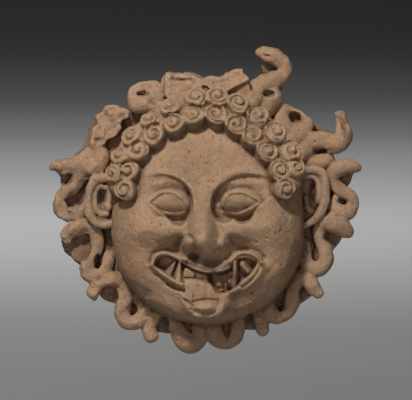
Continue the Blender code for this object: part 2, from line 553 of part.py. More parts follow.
def add_ears(clay):
    """A thin shell with a rolled rim, a lobe and the knob before the opening."""
    for rim in (LEFT_EAR, RIGHT_EAR):
        side = 1 if rim[0][0] > 0 else -1
        add_roll(clay, [at(x, z, EAR_DEPTH) for x, z in rim], EAR_RIM_DIAMETER, [1.0] * len(rim))
        top, bottom = rim[0][1], rim[-1][1]
        shell = rim + [(side * EAR_ROOT, bottom), (side * EAR_ROOT, top + EAR_ROOT_RISE),
                       (side * EAR_SHOULDER, top + EAR_SHOULDER_RISE)]
        add_slab(clay, shell, EAR_DEPTH - EAR_RIM_DIAMETER / 2)
        add_ball(clay, at(side * EAR_LOBE[0], EAR_LOBE[1], EAR_DEPTH), EAR_LOBE_DIAMETER / 2)
        add_ball(clay, at(side * EAR_KNOB[0], EAR_KNOB[1], EAR_DEPTH), EAR_KNOB_DIAMETER / 2)


def add_breaks(clay):
    """The broken slab over the hair, and on the left a broken coil, a raised break and a stump."""
    add_slab(clay, SLAB_FOOT, SLAB_FOOT_THICKNESS)
    for outline in (SLAB_LEFT, SLAB_RIGHT):
        add_slab(clay, outline, SLAB_THICKNESS)
    coil = [at(x, z, PLATE_THICKNESS + BROKEN_COIL_RISE) for x, z in BROKEN_COIL]
    add_roll(clay, coil, BROKEN_COIL_DIAMETER, [1.0] * len(coil))
    core = at(*BROKEN_COIL_MIDDLE, PLATE_THICKNESS + BROKEN_COIL_CORE_RISE)
    clay.append(sphere_mesh(24, 16, Matrix.Translation(core) @ Matrix.Diagonal((*BROKEN_COIL_HALF_AXES, 1))))
    add_slab(clay, FRAGMENT, FRAGMENT_THICKNESS)
    add_slab(clay, STUMP, STUMP_THICKNESS)
    stump = [at(x, z, PLATE_THICKNESS + SNAKE_RISE) for x, z, girth in STUMP_ROLL]
    add_roll(clay, stump, BROKEN_COIL_DIAMETER, [girth for x, z, girth in STUMP_ROLL])


def joined(clay):
    """All the meshes in one, which still overlap."""
    mesh = bpy.data.meshes.new("antefix")
    whole = bmesh.new()
    for piece in clay:
        whole.from_mesh(piece)
        bpy.data.meshes.remove(piece)
    whole.to_mesh(mesh)
    whole.free()
    return mesh


def clay_material():
    material = bpy.data.materials.new("fired_clay")
    material.use_nodes = True
    shader = material.node_tree.nodes["Principled BSDF"]
    shader.inputs["Base Color"].default_value = CLAY_COLOUR
    shader.inputs["Roughness"].default_value = CLAY_ROUGHNESS
    shader.inputs["Metallic"].default_value = 0.0
    return material


def new_collection(name):
    collection = bpy.data.collections.new(name)
    bpy.context.scene.collection.children.link(collection)
    return collection


def add_wall_cutter(collection):
    """A block behind the plane y = 0, which leaves the back exactly flat."""
    mesh = bpy.data.meshes.new("wall_cutter")
    block = bmesh.new()
    side = 2 * SPAN
    bmesh.ops.create_cube(block, size=side, matrix=Matrix.Translation((0, side / 2, 0)))
    block.to_mesh(mesh)
    block.free()
    cutter = bpy.data.objects.new("wall_cutter", mesh)
    collection.objects.link(cutter)
    cutter.hide_render = True
    cutter.display_type = "WIRE"
    return cutter


def build():
    for old in list(bpy.data.objects):
        bpy.data.objects.remove(old)
    parts = new_collection("antefix_parts")
    cutters = new_collection("antefix_cutters")

    clay = []
    add_head(clay)
    add_plate(clay)
    add_snakes(clay)
    add_hair_roll(clay)
    add_curls(clay)
    add_ears(clay)
    add_breaks(clay)
    antefix = bpy.data.objects.new("antefix", joined(clay))
    antefix.data.materials.append(clay_material())
    parts.objects.link(antefix)

    fuse = antefix.modifiers.new("fuse", "REMESH")
    fuse.mode = "VOXEL"
    fuse.voxel_size = FUSING_STEP
    fuse.use_smooth_shade = True
    soften = antefix.modifiers.new("soften", "SMOOTH")
    soften.factor = 0.5
    soften.iterations = 1
    thin = antefix.modifiers.new("thin", "DECIMATE")
    thin.ratio = KEPT_SHARE
    wall = antefix.modifiers.new("wall", "BOOLEAN")
    wall.operation = "DIFFERENCE"
    wall.object = add_wall_cutter(cutters)


build()
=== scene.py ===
"""Looks of the fired-clay gorgon antefix: its fine surface, its clay, and plain studio light.

The fine surface is one mesh that keeps the CAD solid's form. It is modelled as a field: a block of
cells, each holding its distance from the clay's surface in millimetres, negative inside. Rolls,
slabs, curls and the head are blended into the block, lines and breaks are cut out of it, and the
skin where the field crosses nought becomes the mesh. Places on the front are (x, z) pairs and a
depth is measured forwards from the flat back, all in millimetres. In the frame of the CAD a place
is (x, -depth, z), in metres.
"""

import math

import bmesh
import bpy
import numpy as np
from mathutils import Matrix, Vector


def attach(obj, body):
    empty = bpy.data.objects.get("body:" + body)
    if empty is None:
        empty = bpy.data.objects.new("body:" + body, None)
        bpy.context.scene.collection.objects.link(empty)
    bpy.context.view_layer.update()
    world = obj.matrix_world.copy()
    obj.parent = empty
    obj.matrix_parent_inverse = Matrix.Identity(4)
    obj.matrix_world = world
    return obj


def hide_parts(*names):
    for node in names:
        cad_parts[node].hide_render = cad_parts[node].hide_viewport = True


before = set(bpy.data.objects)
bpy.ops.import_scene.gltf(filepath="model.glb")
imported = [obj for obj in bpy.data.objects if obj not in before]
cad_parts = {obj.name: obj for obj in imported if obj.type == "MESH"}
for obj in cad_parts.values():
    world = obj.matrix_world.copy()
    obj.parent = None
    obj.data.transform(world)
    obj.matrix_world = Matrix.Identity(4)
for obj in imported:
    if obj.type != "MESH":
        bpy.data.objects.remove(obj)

# One millimetre in the frame's metres
MM = 0.001

# The block of cells: its corners as x, z and depth, the side of a cell, the distance that stands for
# no clay near by, and how far a form's window reaches beyond the form
LOW = (-128.0, -126.0, -2.2)
HIGH = (128.0, 126.0, 82.0)
CELL = 0.8
FAR = 50.0
MARGIN = 3

# Lengths and slopes below these count as nought, so that nothing is divided by it
LEAST_LENGTH = 1e-9
LEAST_OFFSET = 0.01
LEAST_SLOPE = 1e-3

# Triangles that the finished mesh keeps
TRIANGLES = 196000

# The front of the plate and of the web between the snakes, and the usual size of a fillet
PLATE = 11.0
WEB_TOP = 7.5
BLEND = 1.6

# Slabs: how rounded their edges are, and how far their windows reach to the sides and forwards
SLAB_ROUNDING = 2.0
SLAB_MARGIN = 4
SLAB_HEADROOM = 6

# The head: an egg whose broad end is the jaw, with its crown sunk behind the curls
HEAD_CENTRE = (1.6, -22.4)
HEAD_HALF_WIDTH = 77.5
JAW_HALF_HEIGHT = 77.5
CROWN_HALF_HEIGHT = 114.0
HEAD_FULLNESS = 2.06
PROFILE_FULLNESS = 2.8
FACE_BULGE = 62.0
HEAD_BLEND = 3.0
RELIEF_EDGE = 0.06
CROWN_SINK = 16.0
CROWN_SINK_EDGE = 9.0
BELOW_CROWN = [(90, 0), (90, -120), (-90, -120), (-90, 0)]

# Soft forms of the face: middle, half-axes, height, and how square their flanks are
SWELLINGS = {
    "left cheek": ((-52, -28), (20, 20), 4.5, 1.0),
    "right cheek": ((54, -26), (20, 20), 4.5, 1.0),
    "left smile hollow": ((-25, -41.5), (17, 9), -8.5, 1.0),
    "right smile hollow": ((25, -41), (17, 9), -8.5, 1.0),
    "left hollow by the wing": ((-22.6, -35), (6, 7), -4.6, 1.3),
    "left side of the nose": ((-12, -34), (7, 8.5), 5.5, 1.6),
    "right hollow by the wing": ((23, -33.6), (6, 6), -2.4, 1.2),
    "muzzle": ((0, -62), (40, 12), 1.5, 1.4),
    "under the nose": ((3, -50), (18, 6), -4.5, 1.2),
    "chin": ((0, -89), (23, 12), 10.0, 1.15),
    "under the lip, left": ((-34, -71), (16, 8), -0.8, 1.0),
    "under the lip, right": ((36, -74), (16, 8), -0.6, 1.0),
    "left of the mouth": ((-54, -50), (9, 18), 2.0, 1.0),
    "right of the mouth": ((56, -48), (9, 18), 2.0, 1.0),
    "left frontal": ((-22, 38), (20, 18), 1.2, 1.0),
    "right frontal": ((26, 40), (20, 18), 1.2, 1.0),
    "left lid": ((-34, 12), (12, 3.4), 0.8, 1.2),
    "right lid": ((28, 12.5), (11, 3.4), 1.6, 1.2),
}

# Sockets of the eyes: outline from the temple over the brow to the nose and back along the cheek,
# where the socket has run out, and over how wide a stretch
SOCKET_DEPTHS = [
    (-20, 14), (-14, 14), (-10, 11.5), (-4, 9), (4, 8), (8, 7), (11, 5.4), (13.5, 3.6), (18, 2.8),
]
SOCKET_BY_NOSE = 4.0
SOCKET_BY_NOSE_WIDTH = 7.0
SOCKET_BY_NOSE_FROM = -8
SOCKET_BY_NOSE_RISE = 14
BROW_EDGE = 2.4
CHEEK_EDGE = 2.0
SOCKET_EDGE_RISE = 8
LEFT_SOCKET = (
    [(-49, 0), (-51, 10), (-48, 17), (-39, 19.8), (-30, 19.4), (-21, 16), (-14.5, 9.5), (-11.4, 2),
     (-10.8, -5), (-12.8, -11), (-15.6, -16), (-19.6, -20), (-24.6, -19.4), (-29, -15.6), (-36, -9.4),
     (-42, -4)],
    -50, 24,
)
RIGHT_SOCKET = (
    [(56, 7), (55, 14), (47, 17.6), (38, 19.8), (27, 19.6), (18, 16), (10.5, 10.5), (5.6, 3.5),
     (4.4, -4), (5.6, -11), (9, -16), (14, -17.8), (19, -16.4), (22, -15.2), (25.5, -17.4), (30, -18.4),
     (35, -15.6), (39, -9.4), (45, -2.4), (52, 3)],
    57, 28,
)

# The almond eyes as outlines, the mound that carries each, the lids, and the form of the eyeball
LEFT_EYE = [
    (-44, -2.4), (-38.4, 2.7), (-34.4, 4.6), (-29.8, 5.1), (-25.8, 3.9), (-21.7, 1.4), (-18, -2.2),
    (-14.6, -7.6), (-22.1, -9.5), (-30.6, -9.0), (-36.4, -7.4), (-40, -5),
]
RIGHT_EYE = [
    (14, -7.4), (16.5, 0.2), (19.2, 3.6), (24.8, 4.8), (31.2, 3.6), (36.8, 0.8), (41.2, -1.2), (36, -4.8),
    (32, -6.8), (25.9, -9.2), (20.6, -9.2),
]
LEFT_MOUND = ((-29, -2.2), (17, 11.4), 7.4)
RIGHT_MOUND = ((28, -1.8), (16.6, 11.6), 7.6)
MOUND_FULLNESS = 0.45
LEFT_UPPER_LID = [
    (-46, -1.6), (-39, 4.4), (-34.6, 6.6), (-29.6, 7.2), (-25, 5.8), (-20.4, 2.8), (-16.4, -1.2),
    (-12.6, -7),
]
RIGHT_UPPER_LID = [(13, -5), (14.8, 1.6), (18.2, 5.6), (24.8, 7), (31.4, 5.8), (37.4, 2.8), (43, -0.4)]
LEFT_LOWER_LID = [(-45, -3.4), (-40, -7.2), (-36.4, -9.6), (-30.4, -11.2), (-22, -11.8), (-15, -9.6)]
RIGHT_LOWER_LID = [(42.4, -2.6), (37, -6.6), (32.4, -8.8), (26, -11.4), (20, -11.4), (13.6, -9.6)]
EYE_RIM_DROP = 1.7
EYE_RIM_OUT = 0.5
EYE_RIM_EDGE = 0.9
EYEBALL_RISE = 3.0
EYEBALL_REACH = 6.6

# The nose: height of each place up its ridge, with the ridge's offset, proud height and half-width
NOSE = [
    (24, -3, 0, 12), (12, -3.2, 1.2, 11), (0, -3.6, 3.6, 10), (-10, -3.8, 6.4, 10), (-18, -3.4, 9.2, 11),
    (-25, -2.4, 13.4, 11.4), (-31, -1.8, 16.4, 11.0), (-36, -1.2, 16.8, 11.0), (-40, 0, 15.4, 11.4),
    (-42.2, 1.2, 13.6, 12.4), (-44.4, 1.4, 8.6, 11), (-46.4, 1.4, 3, 10), (-49, 1.4, 0, 9),
]
NOSE_FULLNESS = 1.2
NOSE_TIP = ((-1.6, -30.4), (8.6, 7.4), 3.8, 1.2)
LEFT_WING = ((-15.0, -34.4), (4.7, 5.8), 11.5, 1.5)
RIGHT_WING = ((12.6, -35.4), (6.6, 6.6), 8.4, 1.2)

# Rounded ridges and carved lines: line, half-width and height, which is negative for a line cut in
RIDGES = {
    "left brow": ([(-48, 21), (-38, 22), (-27, 20.4), (-17, 15), (-11, 8)], 2.8, 1.3),
    "right brow": ([(47, 20), (37, 22.4), (26, 22.6), (15, 18.6), (7, 11)], 2.8, 1.5),
    "left apple": ([(-54, -24), (-44, -22.5), (-33, -23), (-21, -25.5)], 8.0, 3.6),
    "right apple": ([(18, -25), (28, -23.5), (39, -21), (52, -17)], 8.0, 3.6),
    "left fold": ([(-20, -31), (-24, -35), (-30, -38)], 4.0, -2.6),
    "right fold": ([(19.5, -31), (24, -35), (30, -38)], 4.0, -2.6),
    "chin under the tongue": ([(-18, -74), (-15.4, -83), (-11, -90), (-0.8, -94), (11.2, -90.6),
                               (17, -81.6), (18.6, -74)], 4.0, 3.2),
    "forehead line": ([(2, 54), (1, 24)], 3, 0.7),
    "hollow under the hair": ([(-57, 3), (-54, 18), (-47.6, 33), (-37, 43.6), (-23, 52), (-9, 58),
                               (7.6, 58.4), (21, 51), (32, 42.6), (42.6, 32.6), (51.6, 21), (55, 6)],
                              3.4, -2.2),
    "left upper lid": (LEFT_UPPER_LID, 1.5, 1.6),
    "right upper lid": (RIGHT_UPPER_LID, 1.5, 1.8),
    "left lower lid": (LEFT_LOWER_LID, 1.2, 1.5),
    "right lower lid": (RIGHT_LOWER_LID, 1.2, 1.5),
    "upper lip, left": ([(-42.2, -50.6), (-40.4, -45.6), (-36.4, -43), (-30.4, -42.6), (-23, -45.4),
                         (-16, -47.4)], 1.5, 3.6),
    "upper lip, middle": ([(-17, -47.2), (-12, -48.8), (-8, -51), (0, -53.4), (8, -53.6), (15, -51.6),
                           (19, -49)], 1.7, 2.2),
    "upper lip, right": ([(19, -48.8), (20.4, -47.8), (24, -44), (28, -42), (34, -42.4), (40, -45.2),
                          (43.8, -50)], 1.7, 3.7),
    "furrow over the left lip": ([(-44.4, -50), (-43, -44), (-38.8, -40.2), (-31.2, -39),
                                  (-22.4, -41.2), (-16.8, -43), (-11, -46)],
                                 1.6, -1.6),
    "furrow over the right lip": ([(46, -46), (41, -40.4), (33, -38.4), (27, -39), (20.4, -42),
                                   (15, -46)], 1.6, -1.6),
    "lower lip": ([(-43, -52), (-38.5, -55.6), (-34.4, -58.8), (-29.9, -62), (-25.8, -64.4),
                   (-21.8, -66.2), (-17.7, -67.6)], 2.0, 4.4),
    "line under the lower lip": ([(-41, -58), (-35.2, -62.2), (-30.4, -66), (-25, -69.4)], 1.2, -1.8),
    "right lower lip": ([(45.4, -52), (43, -57.5), (39, -63.5), (33.5, -68.4), (26, -70.6), (19, -73),
                         (14, -77.5), (12, -83)], 3.2, 2.4),
}

# The open mouth and the flat-topped things in it: outline, edge and level
MOUTH_FLOOR = -13.0
MOUTH = [
    (-41, -51.6), (-38.8, -47.2), (-34.4, -45.0), (-29, -44.8), (-23.6, -47.4), (-17.8, -50.8),
    (-12.8, -54), (-7, -56.4), (1.5, -58.2), (10, -57.6), (18.5, -54.8), (21.6, -50.8), (24.4, -47.6),
    (29, -46.2), (35, -46.8), (40.4, -49.8), (40.5, -52.5), (38, -56.5), (33, -61), (27.5, -65.5),
    (23, -69), (19, -72), (12, -74), (0, -70), (-17.5, -66), (-24.8, -62.6), (-31, -58.6), (-36, -55),
]
MOUTH_LEVELS = [
    (MOUTH, 1.2, MOUTH_FLOOR),
    ([(-17, -54), (-10, -56), (0.2, -59), (1.4, -61.5), (0.6, -66), (-17, -66)], 1.4, -4.6),
    ([(5, -58), (12, -59), (20, -56), (25.5, -51), (26.5, -58), (26.5, -66), (20, -71), (10, -74),
      (6, -69)], 3.0, -8.5),
    ([(26.6, -66), (33, -60.6), (37.6, -56), (40.8, -49.6), (42.6, -51), (41, -56.4), (36.4, -62),
      (29, -68.2)], 2.2, 2.6),
]

# Fangs as spikes: middle of the root, tip, half-width at the root and height over the mouth's floor
SPIKES = [((-30.6, -60.6), (-23.8, -48.0), 4.6, 7.2), ((-22.2, -66), (-20.7, -48.4), 5.4, 15.4)]
SPIKE_ENDS = (-0.2, 1.04)
SPIKE_TAPER = 0.3
SPIKE_TIP = 0.5
SPIKE_FULLNESS = 2.4
EYETEETH = [
    ([(22.6, -49.5), (23.4, -58), (22.6, -69)], 3.0, 10.5),
    ([(29.4, -51.4), (31, -54.4), (33.5, -57)], 3.2, 12.4), ([(15.6, -67), (16.6, -74)], 2.2, 7.4),
]

# Rubble of broken teeth: middle, half-axes, height over its bed and steepness
RUBBLE = [
    ((7.6, -62), (3.6, 2.2), 2.2, 1.4), ((14.6, -60.6), (2.4, 3.4), 2.8, 1.4),
    ((10.4, -67.4), (3.2, 2.2), 2.0, 1.4), ((19, -64.6), (1.8, 4.2), 2.4, 1.4),
    ((20.4, -57.4), (2.2, 2.6), 2.4, 1.4), ((12, -72.4), (2.6, 1.8), 1.8, 1.4),
]

# The tongue, which hangs straight down before the chin, and its worn lower part
TONGUE = [
    (-17.6, -65), (-16.4, -63), (-8, -62.8), (0.6, -65), (4.6, -67.6), (7.6, -72.6), (9.2, -76.8),
    (11.4, -79.4), (9.4, -84), (8, -88.6), (2, -91), (-6, -90.8), (-11, -87.4), (-12.4, -82),
    (-16.6, -80),
]
TONGUE_EDGE = 2.2
TONGUE_ROOT_LEVEL = 1.6
TONGUE_SLOPE = -0.30
TONGUE_LOWEST_GAIN = 6.6
TONGUE_END = ((-1, -88), (12, 6.5), 5.0, 1.6)
TONGUE_DOME = 1.6
TONGUE_DOME_EDGE = 8

# Cracks and scratches of the face: line, half-width and depth
CRACKS = [
    ([(-10.4, -81), (-6, -79.6), (-1, -79), (4, -78.8), (9.4, -79.6)], 0.7, 1.8),
    ([(-10.2, -75), (-10.4, -81)], 0.7, 1.6), ([(-17.4, -79), (-13, -82), (-10.4, -84)], 1.0, 2.0),
    ([(-17, -62.4), (-10, -62.2), (-4, -63.4), (1, -65.4)], 0.8, 2.6),
    ([(-8.6, -57), (-8.4, -62)], 0.8, 2.2), ([(-30, -66.4), (-24, -69.6), (-18, -72.2)], 1.7, 3.2),
    ([(-20, -34.6), (-18.6, -30.4), (-15, -28), (-11.4, -28.8), (-9.4, -32.6), (-8.8, -39)], 1.1, 3.4),
    ([(0.4, -65.5), (0.6, -78)], 0.8, 1.0), ([(42.4, -53), (40, -59), (35, -64.6), (29, -69)], 0.9, 1.4),
    ([(26, -50), (26.2, -58), (26.6, -65)], 0.9, 3.0),
]
NOSTRILS = [((-9.0, -44.0), (4.4, 3.4), 8.0, 2.0), ((7.2, -41.6), (1.8, 1.2), 3.0, 1.5)]

# Snakes from the head or the broken end to where each dives under: x, z, width and depth of the axis
SNAKES = [
    [(-121.6, 26.4, 8, 14), (-116.8, 26.6, 11.5, 14.5), (-109.6, 26.8, 12, 14), (-102.4, 25.2, 12, 14),
     (-101.6, 18.4, 12.5, 14), (-107.2, 10.4, 11.5, 13), (-115.2, 4, 11.5, 13), (-117.2, -3.2, 12, 13),
     (-114.4, -10.4, 12.5, 13), (-106.4, -11.2, 12.5, 13), (-98.4, -7.2, 12, 13), (-93.6, -2.4, 10, 12)],
    [(-112, -28.8, 12, 14), (-106.4, -24, 13, 14), (-98.4, -20.8, 11.5, 13), (-90.4, -22.8, 11.5, 14),
     (-86.4, -30.4, 12, 14), (-88, -40, 12, 14), (-92.8, -48, 12, 14), (-95.2, -55.2, 12.5, 13),
     (-91.2, -60.8, 13, 13), (-84, -58.4, 13, 13), (-79.2, -51.2, 12, 13), (-77.6, -44, 10, 12)],
    [(-90.4, -74.4, 12, 14), (-86.4, -68.8, 12, 14), (-79.2, -64, 12, 14), (-70.4, -63.2, 12, 14),
     (-64.8, -69.6, 12.5, 14), (-64, -80, 12.5, 14), (-66.4, -90.4, 13, 14), (-63.2, -97.6, 14, 14),
     (-55.2, -96.8, 14, 14), (-49.6, -90.4, 15, 13), (-50.4, -82.4, 15, 13), (-55.2, -76.8, 13, 12)],
    [(-44, -108.8, 12, 13), (-45.6, -100.8, 12, 13), (-40.8, -92, 12, 13), (-32.8, -89.6, 12, 13),
     (-26.4, -96, 12, 13), (-22.4, -104.8, 13, 14), (-16.8, -113.6, 15, 14), (-9.6, -115.4, 13, 13),
     (-5.6, -108.8, 12, 12), (-6.4, -100.8, 12, 11)],
    [(5.6, -97.6, 14, 12), (7.2, -107.2, 14, 13), (14.4, -113, 14, 13), (22.4, -110, 14, 13),
     (25.6, -100.8, 13, 13), (28, -91.2, 13, 13), (33.6, -85.6, 12, 13), (40.8, -89.6, 11, 13),
     (44, -97.6, 10, 14), (44.8, -104, 10, 13)],
    [(89.6, -74.4, 10, 15), (84.8, -68, 13, 15), (80, -63.2, 12, 14), (72.8, -62.4, 12.5, 13),
     (70.4, -72, 13, 13), (68.8, -82.4, 13, 13), (62.4, -91, 13.5, 13), (54.4, -91.4, 13.5, 13),
     (49.6, -84.8, 13, 13), (51.2, -76, 13, 12)],
    [(113.6, -26, 9, 16), (110.4, -23.6, 13, 16), (104.4, -19.4, 16.5, 16), (97.6, -17.2, 15, 16),
     (91.2, -20.8, 12, 15), (90.4, -28.8, 11, 14), (92, -34, 11.5, 14), (95.2, -40, 12, 14),
     (96, -48, 12.5, 14), (91.2, -55, 13.5, 14), (84, -53.6, 13, 13), (79.2, -46.4, 13, 13),
     (78.4, -36, 13, 12)],
    [(121, 26.2, 7, 14), (116, 26.8, 10.5, 15), (108.8, 25.6, 12, 15), (102.4, 21.6, 11.5, 15),
     (101.6, 14.4, 11, 14), (108, 8, 11, 14), (115.2, 3.2, 11, 14), (117.6, -3.2, 11.5, 13),
     (113.6, -9.6, 12, 14), (106.4, -9.6, 13, 15), (101.6, -4, 11, 14), (102.8, 0.8, 8, 13)],
    [(107.2, 67.4, 8, 13), (108, 61.6, 11.5, 14), (109.6, 52.8, 15.5, 15), (103.2, 46.4, 17, 16),
     (92.8, 47.2, 17, 16), (83.2, 45.6, 17, 16), (78.4, 40, 17, 16), (80, 32, 15, 14),
     (88, 29.6, 14, 14), (96, 32, 12, 13)],
    [(62, 70.6, 11, 14), (60.4, 64.6, 13.4, 16), (61.8, 57, 16.4, 18), (69.6, 53.6, 16.4, 17),
     (77.4, 55.6, 15, 15), (81, 61.4, 10, 14)],
    [(44, 118, 8, 13), (48, 117.4, 12, 14), (54.4, 115, 14, 14), (60.4, 111, 13.5, 14),
     (63.2, 105.6, 12.5, 14), (60.8, 99.2, 13.5, 14), (53.6, 95.2, 14.5, 15), (44.8, 91.2, 16, 17),
     (38.4, 85.6, 17, 19), (40, 79.2, 17, 19), (47.2, 76, 16, 17), (54.4, 78, 14, 15),
     (56.4, 82.4, 11, 13)],
]

# Where the snakes grow out of the hair, in the same way
ROOTS = [
    [(61, 60, 15, 17), (55, 54, 17, 22)], [(74, 52, 17, 17), (66, 46, 17, 20)],
    [(52, 82, 18, 17), (46, 74, 18, 22)], [(80, 42, 16, 17), (73, 36, 15, 22)],
    [(40, 84, 17, 20), (36, 77, 16, 30)], [(62, 74.6, 5, 14), (70, 71.4, 4.6, 13), (78, 66.4, 5, 14)],
    [(78, 31, 12, 14), (75, 22, 11, 20)], [(-45, 80, 16, 20), (-36, 74, 14, 30)],
]

# Hollows between the loops, and the eyes of the snakes: place, depth and half-axes
HOLLOWS = [
    ((-112, 15.2), 16, (4.6, 5.0, 8)), ((-105.6, -1.6), 16, (5, 3.0, 8)), ((-97.6, -38), 16, (5, 9, 9)),
    ((-86.6, -50), 16, (2.6, 5, 7)), ((-76.8, -74.4), 16, (4.6, 5.6, 9)),
    ((-33.8, -98.6), 16, (4.6, 6, 9)), ((16.8, -103), 17, (3.0, 6.4, 6)),
    ((35.2, -96.6), 16, (3.0, 5.6, 8)), ((60, -82.4), 16, (3.0, 6, 8)), ((77, -75), 16, (2.4, 4, 8)),
    ((99.4, -29.4), 15, (4.6, 3.4, 8)), ((87.2, -44), 16, (2.4, 4.4, 8)),
    ((114, 17.6), 15, (2.8, 4.6, 8)), ((108.8, -1), 16, (3.8, 2, 6)), ((93, 39.4), 17, (6.6, 2.2, 7)),
    ((71.6, 66.4), 17, (5.4, 4.8, 9)), ((50.4, 85), 24.5, (5.4, 2.8, 8)),
    ((-108.8, -36.8), 9, (1.8, 1.2, 3)), ((47.4, 115.4), 19, (2.6, 1.0, 1.6)),
    ((111.6, 29.6), 20.5, (1.4, 0.8, 1.4)), ((-114, 28.6), 20.5, (1.6, 0.8, 1.2)),
    ((-51.4, 85), 30, (6.6, 1.5, 9)), ((-43.4, 81.6), 33, (3.6, 6.4, 7)),
    ((106, -17), 24.6, (1.6, 1.0, 1.4)), ((111, 61), 20.5, (2.6, 5, 3)),
]

# Uneven modelling: the seed of the dice, then the spacing of the lumps, their reach on whole clay and
# what a break adds to it, and how deep under the skin the unevenness goes
DICE_SEED = 11
LUMPS = [(14.0, 0.36, 0.4), (6.0, 0.24, 0.9), (3.0, 0.15, 0.75), (1.8, 0.05, 0.3)]
LUMPS_DEPTH = 6

# Pits: how many, the field they are scattered over, their radii, how far each middle stands out of
# the skin as a share of the radius, how worn they are, and the least depth of the skin that has any
PITS = 700
PIT_X = (-122, 122)
PIT_Z = (-120, 121)
PIT_RADIUS = 0.5
PIT_SPREAD = 0.18
PIT_LARGEST = 2.0
PIT_OUT = 0.35
PIT_BLEND = 0.5
PIT_LEAST_DEPTH = 4

# How far about a place its crowding is counted, the crowding of a flat face, and the gain beyond it;
# crowded places get painted shade
CROWDING_REACH = 3.2
FLAT_CROWDING = 0.5
RECESS_GAIN = 4

# Clay left between the loops: an oval plate behind the edge of the head, and the webs
RIM_CENTRE = (1.6, -17.4)
RIM_HALF_AXES = (88, 91)
RIM_CORNERS = 48
WEBS = [
    [(-119, 22), (-106, 30), (-80, 36), (-78, -18), (-114, -14), (-118, 2), (-114, 10)],
    [(-115, -33), (-113, -41), (-102, -49), (-93, -60), (-78, -60), (-76, -14), (-102, -14)],
    [(-90, -72), (-82, -80), (-70, -87), (-62, -97), (-50, -99), (-44, -90), (-40, -60), (-84, -60)],
    [(-45, -106), (-28, -106.5), (-20, -108), (-10, -116), (-2, -112), (6, -108), (16, -113),
     (24, -108), (32, -104.5), (44, -104.5), (46, -84), (0, -80), (-44, -84)],
    [(52, -86), (60, -93), (68, -88), (74, -84), (88, -74), (84, -60), (60, -60), (44, -76)],
    [(76, -63), (84, -63), (91, -56), (100, -52), (101, -42), (111, -28), (104, -12), (80, -12)],
    [(119, 24), (105, 24), (100, 30), (76, 36), (76, -16), (104, -12), (115, -10), (118, 0), (112, 8),
     (116, 15)],
    [(98, 36), (110, 42), (108, 52), (86, 60), (79, 67), (67, 74), (54, 76), (38, 58), (60, 20),
     (80, 30)],
    [(45.5, 112), (45.5, 101.5), (43, 94), (33, 89), (33, 66), (62, 66), (58, 80), (62, 92), (65, 105),
     (58, 114)],
]

# Curls of the two rows: middle, radius, turns of the spiral, where it starts in degrees, and the eye
# of the spiral, which is a knob where positive and a hole where negative
FRONT_CURLS = [
    ((-66, 8.3), 8.6, 1.3, 200, 0.4), ((-63.2, 24), 8.6, 1.3, 120, 0.8),
    ((-54.8, 40.8), 8.6, 1.1, 100, 1.4), ((-42.4, 53.2), 8.9, 1.1, 210, 1.4),
    ((-26, 63.2), 9.0, 1.5, 200, 0.9), ((-10, 69.6), 8.8, 1.7, 190, 0.7),
    ((8.4, 69.4), 8.6, 1.4, 120, -1.4), ((24.8, 61.4), 8.8, 1.3, 150, -1.4),
    ((38, 52.4), 8.6, 1.1, 200, -1.8), ((50, 40), 9.0, 1.6, 150, 0.7), ((60, 24.4), 8.8, 1.5, 150, 0.7),
    ((64.4, 8.8), 8.6, 1.3, 60, 0.9),
]
BACK_CURLS = [
    ((-76.3, 21.3), 7.3, 1.1, 60, -2.2), ((-70.2, 37.6), 8.2, 1.4, 90, 0.8),
    ((-61.2, 52.8), 8.6, 1.3, 140, 0.5), ((-45.6, 66), 8.4, 1.1, 100, 0.3),
    ((-28.6, 77), 8.8, 1.2, 160, 0.5), ((-8, 83), 8.4, 1.3, 120, 0.5), ((9.4, 84), 8.6, 1.3, 150, 0.4),
    ((26.4, 78.6), 8.8, 1.4, 120, 0.7), ((42.6, 68.9), 9.4, 1.4, 150, 0.6),
    ((57, 55.6), 9.2, 1.4, 140, 0.6), ((69.6, 40.8), 9.2, 1.3, 130, 0.6),
    ((73.2, 26.6), 7.6, 1.1, 60, -1.2),
]

# The form of the curls: how far their ends stand off the head, the length of the peg, how far each row
# leans out and drops back, the groove and its spiral, and the end's dome and knob
CURL_RISE = 15.0
CURL_LENGTH = 20.0
FRONT_TILT = 0.42
BACK_TILT = 0.7
BACK_DROP = 3.6
CURL_GROOVE = 1.3
CURL_GROOVE_LIFT = -0.1
CURL_GROOVE_SQUASH = 0.6
CURL_SPIRAL_OUT = 0.92
CURL_SPIRAL_IN = 0.28
CURL_SPIRAL_CORNERS = 36
CURL_SPIRAL_QUICKENING = 0.85
CURL_EYE_WIDTH = 0.27
CURL_DOME = 0.018
CURL_CROWN_BLEND = 1.8
CURL_ROOT_BLEND = 2.0
CURL_WOBBLE = 0.05
CURL_BLEND = 1.4
CURL_GROOVE_BLEND = 0.5
CURL_HEADROOM = 9
CURL_BEHIND = 2
CURL_LEAN_REACH = 0.75
CURL_GROOVE_BEHIND = 8

# The mass of hair under the curls: rolls in layers, and one roll along each row
HAIR_ROLL_RADIUS = 8.5
HAIR_LAYERS = (14.5, 22.0, 30.0, 38.0)
HAIR_MIDDLE = 0.35
HAIR_ROW_WIDTH = 11.0
BACK_ROW_INWARDS = 0.25
FRONT_SINK = 9.6
BACK_SINK = 10.0

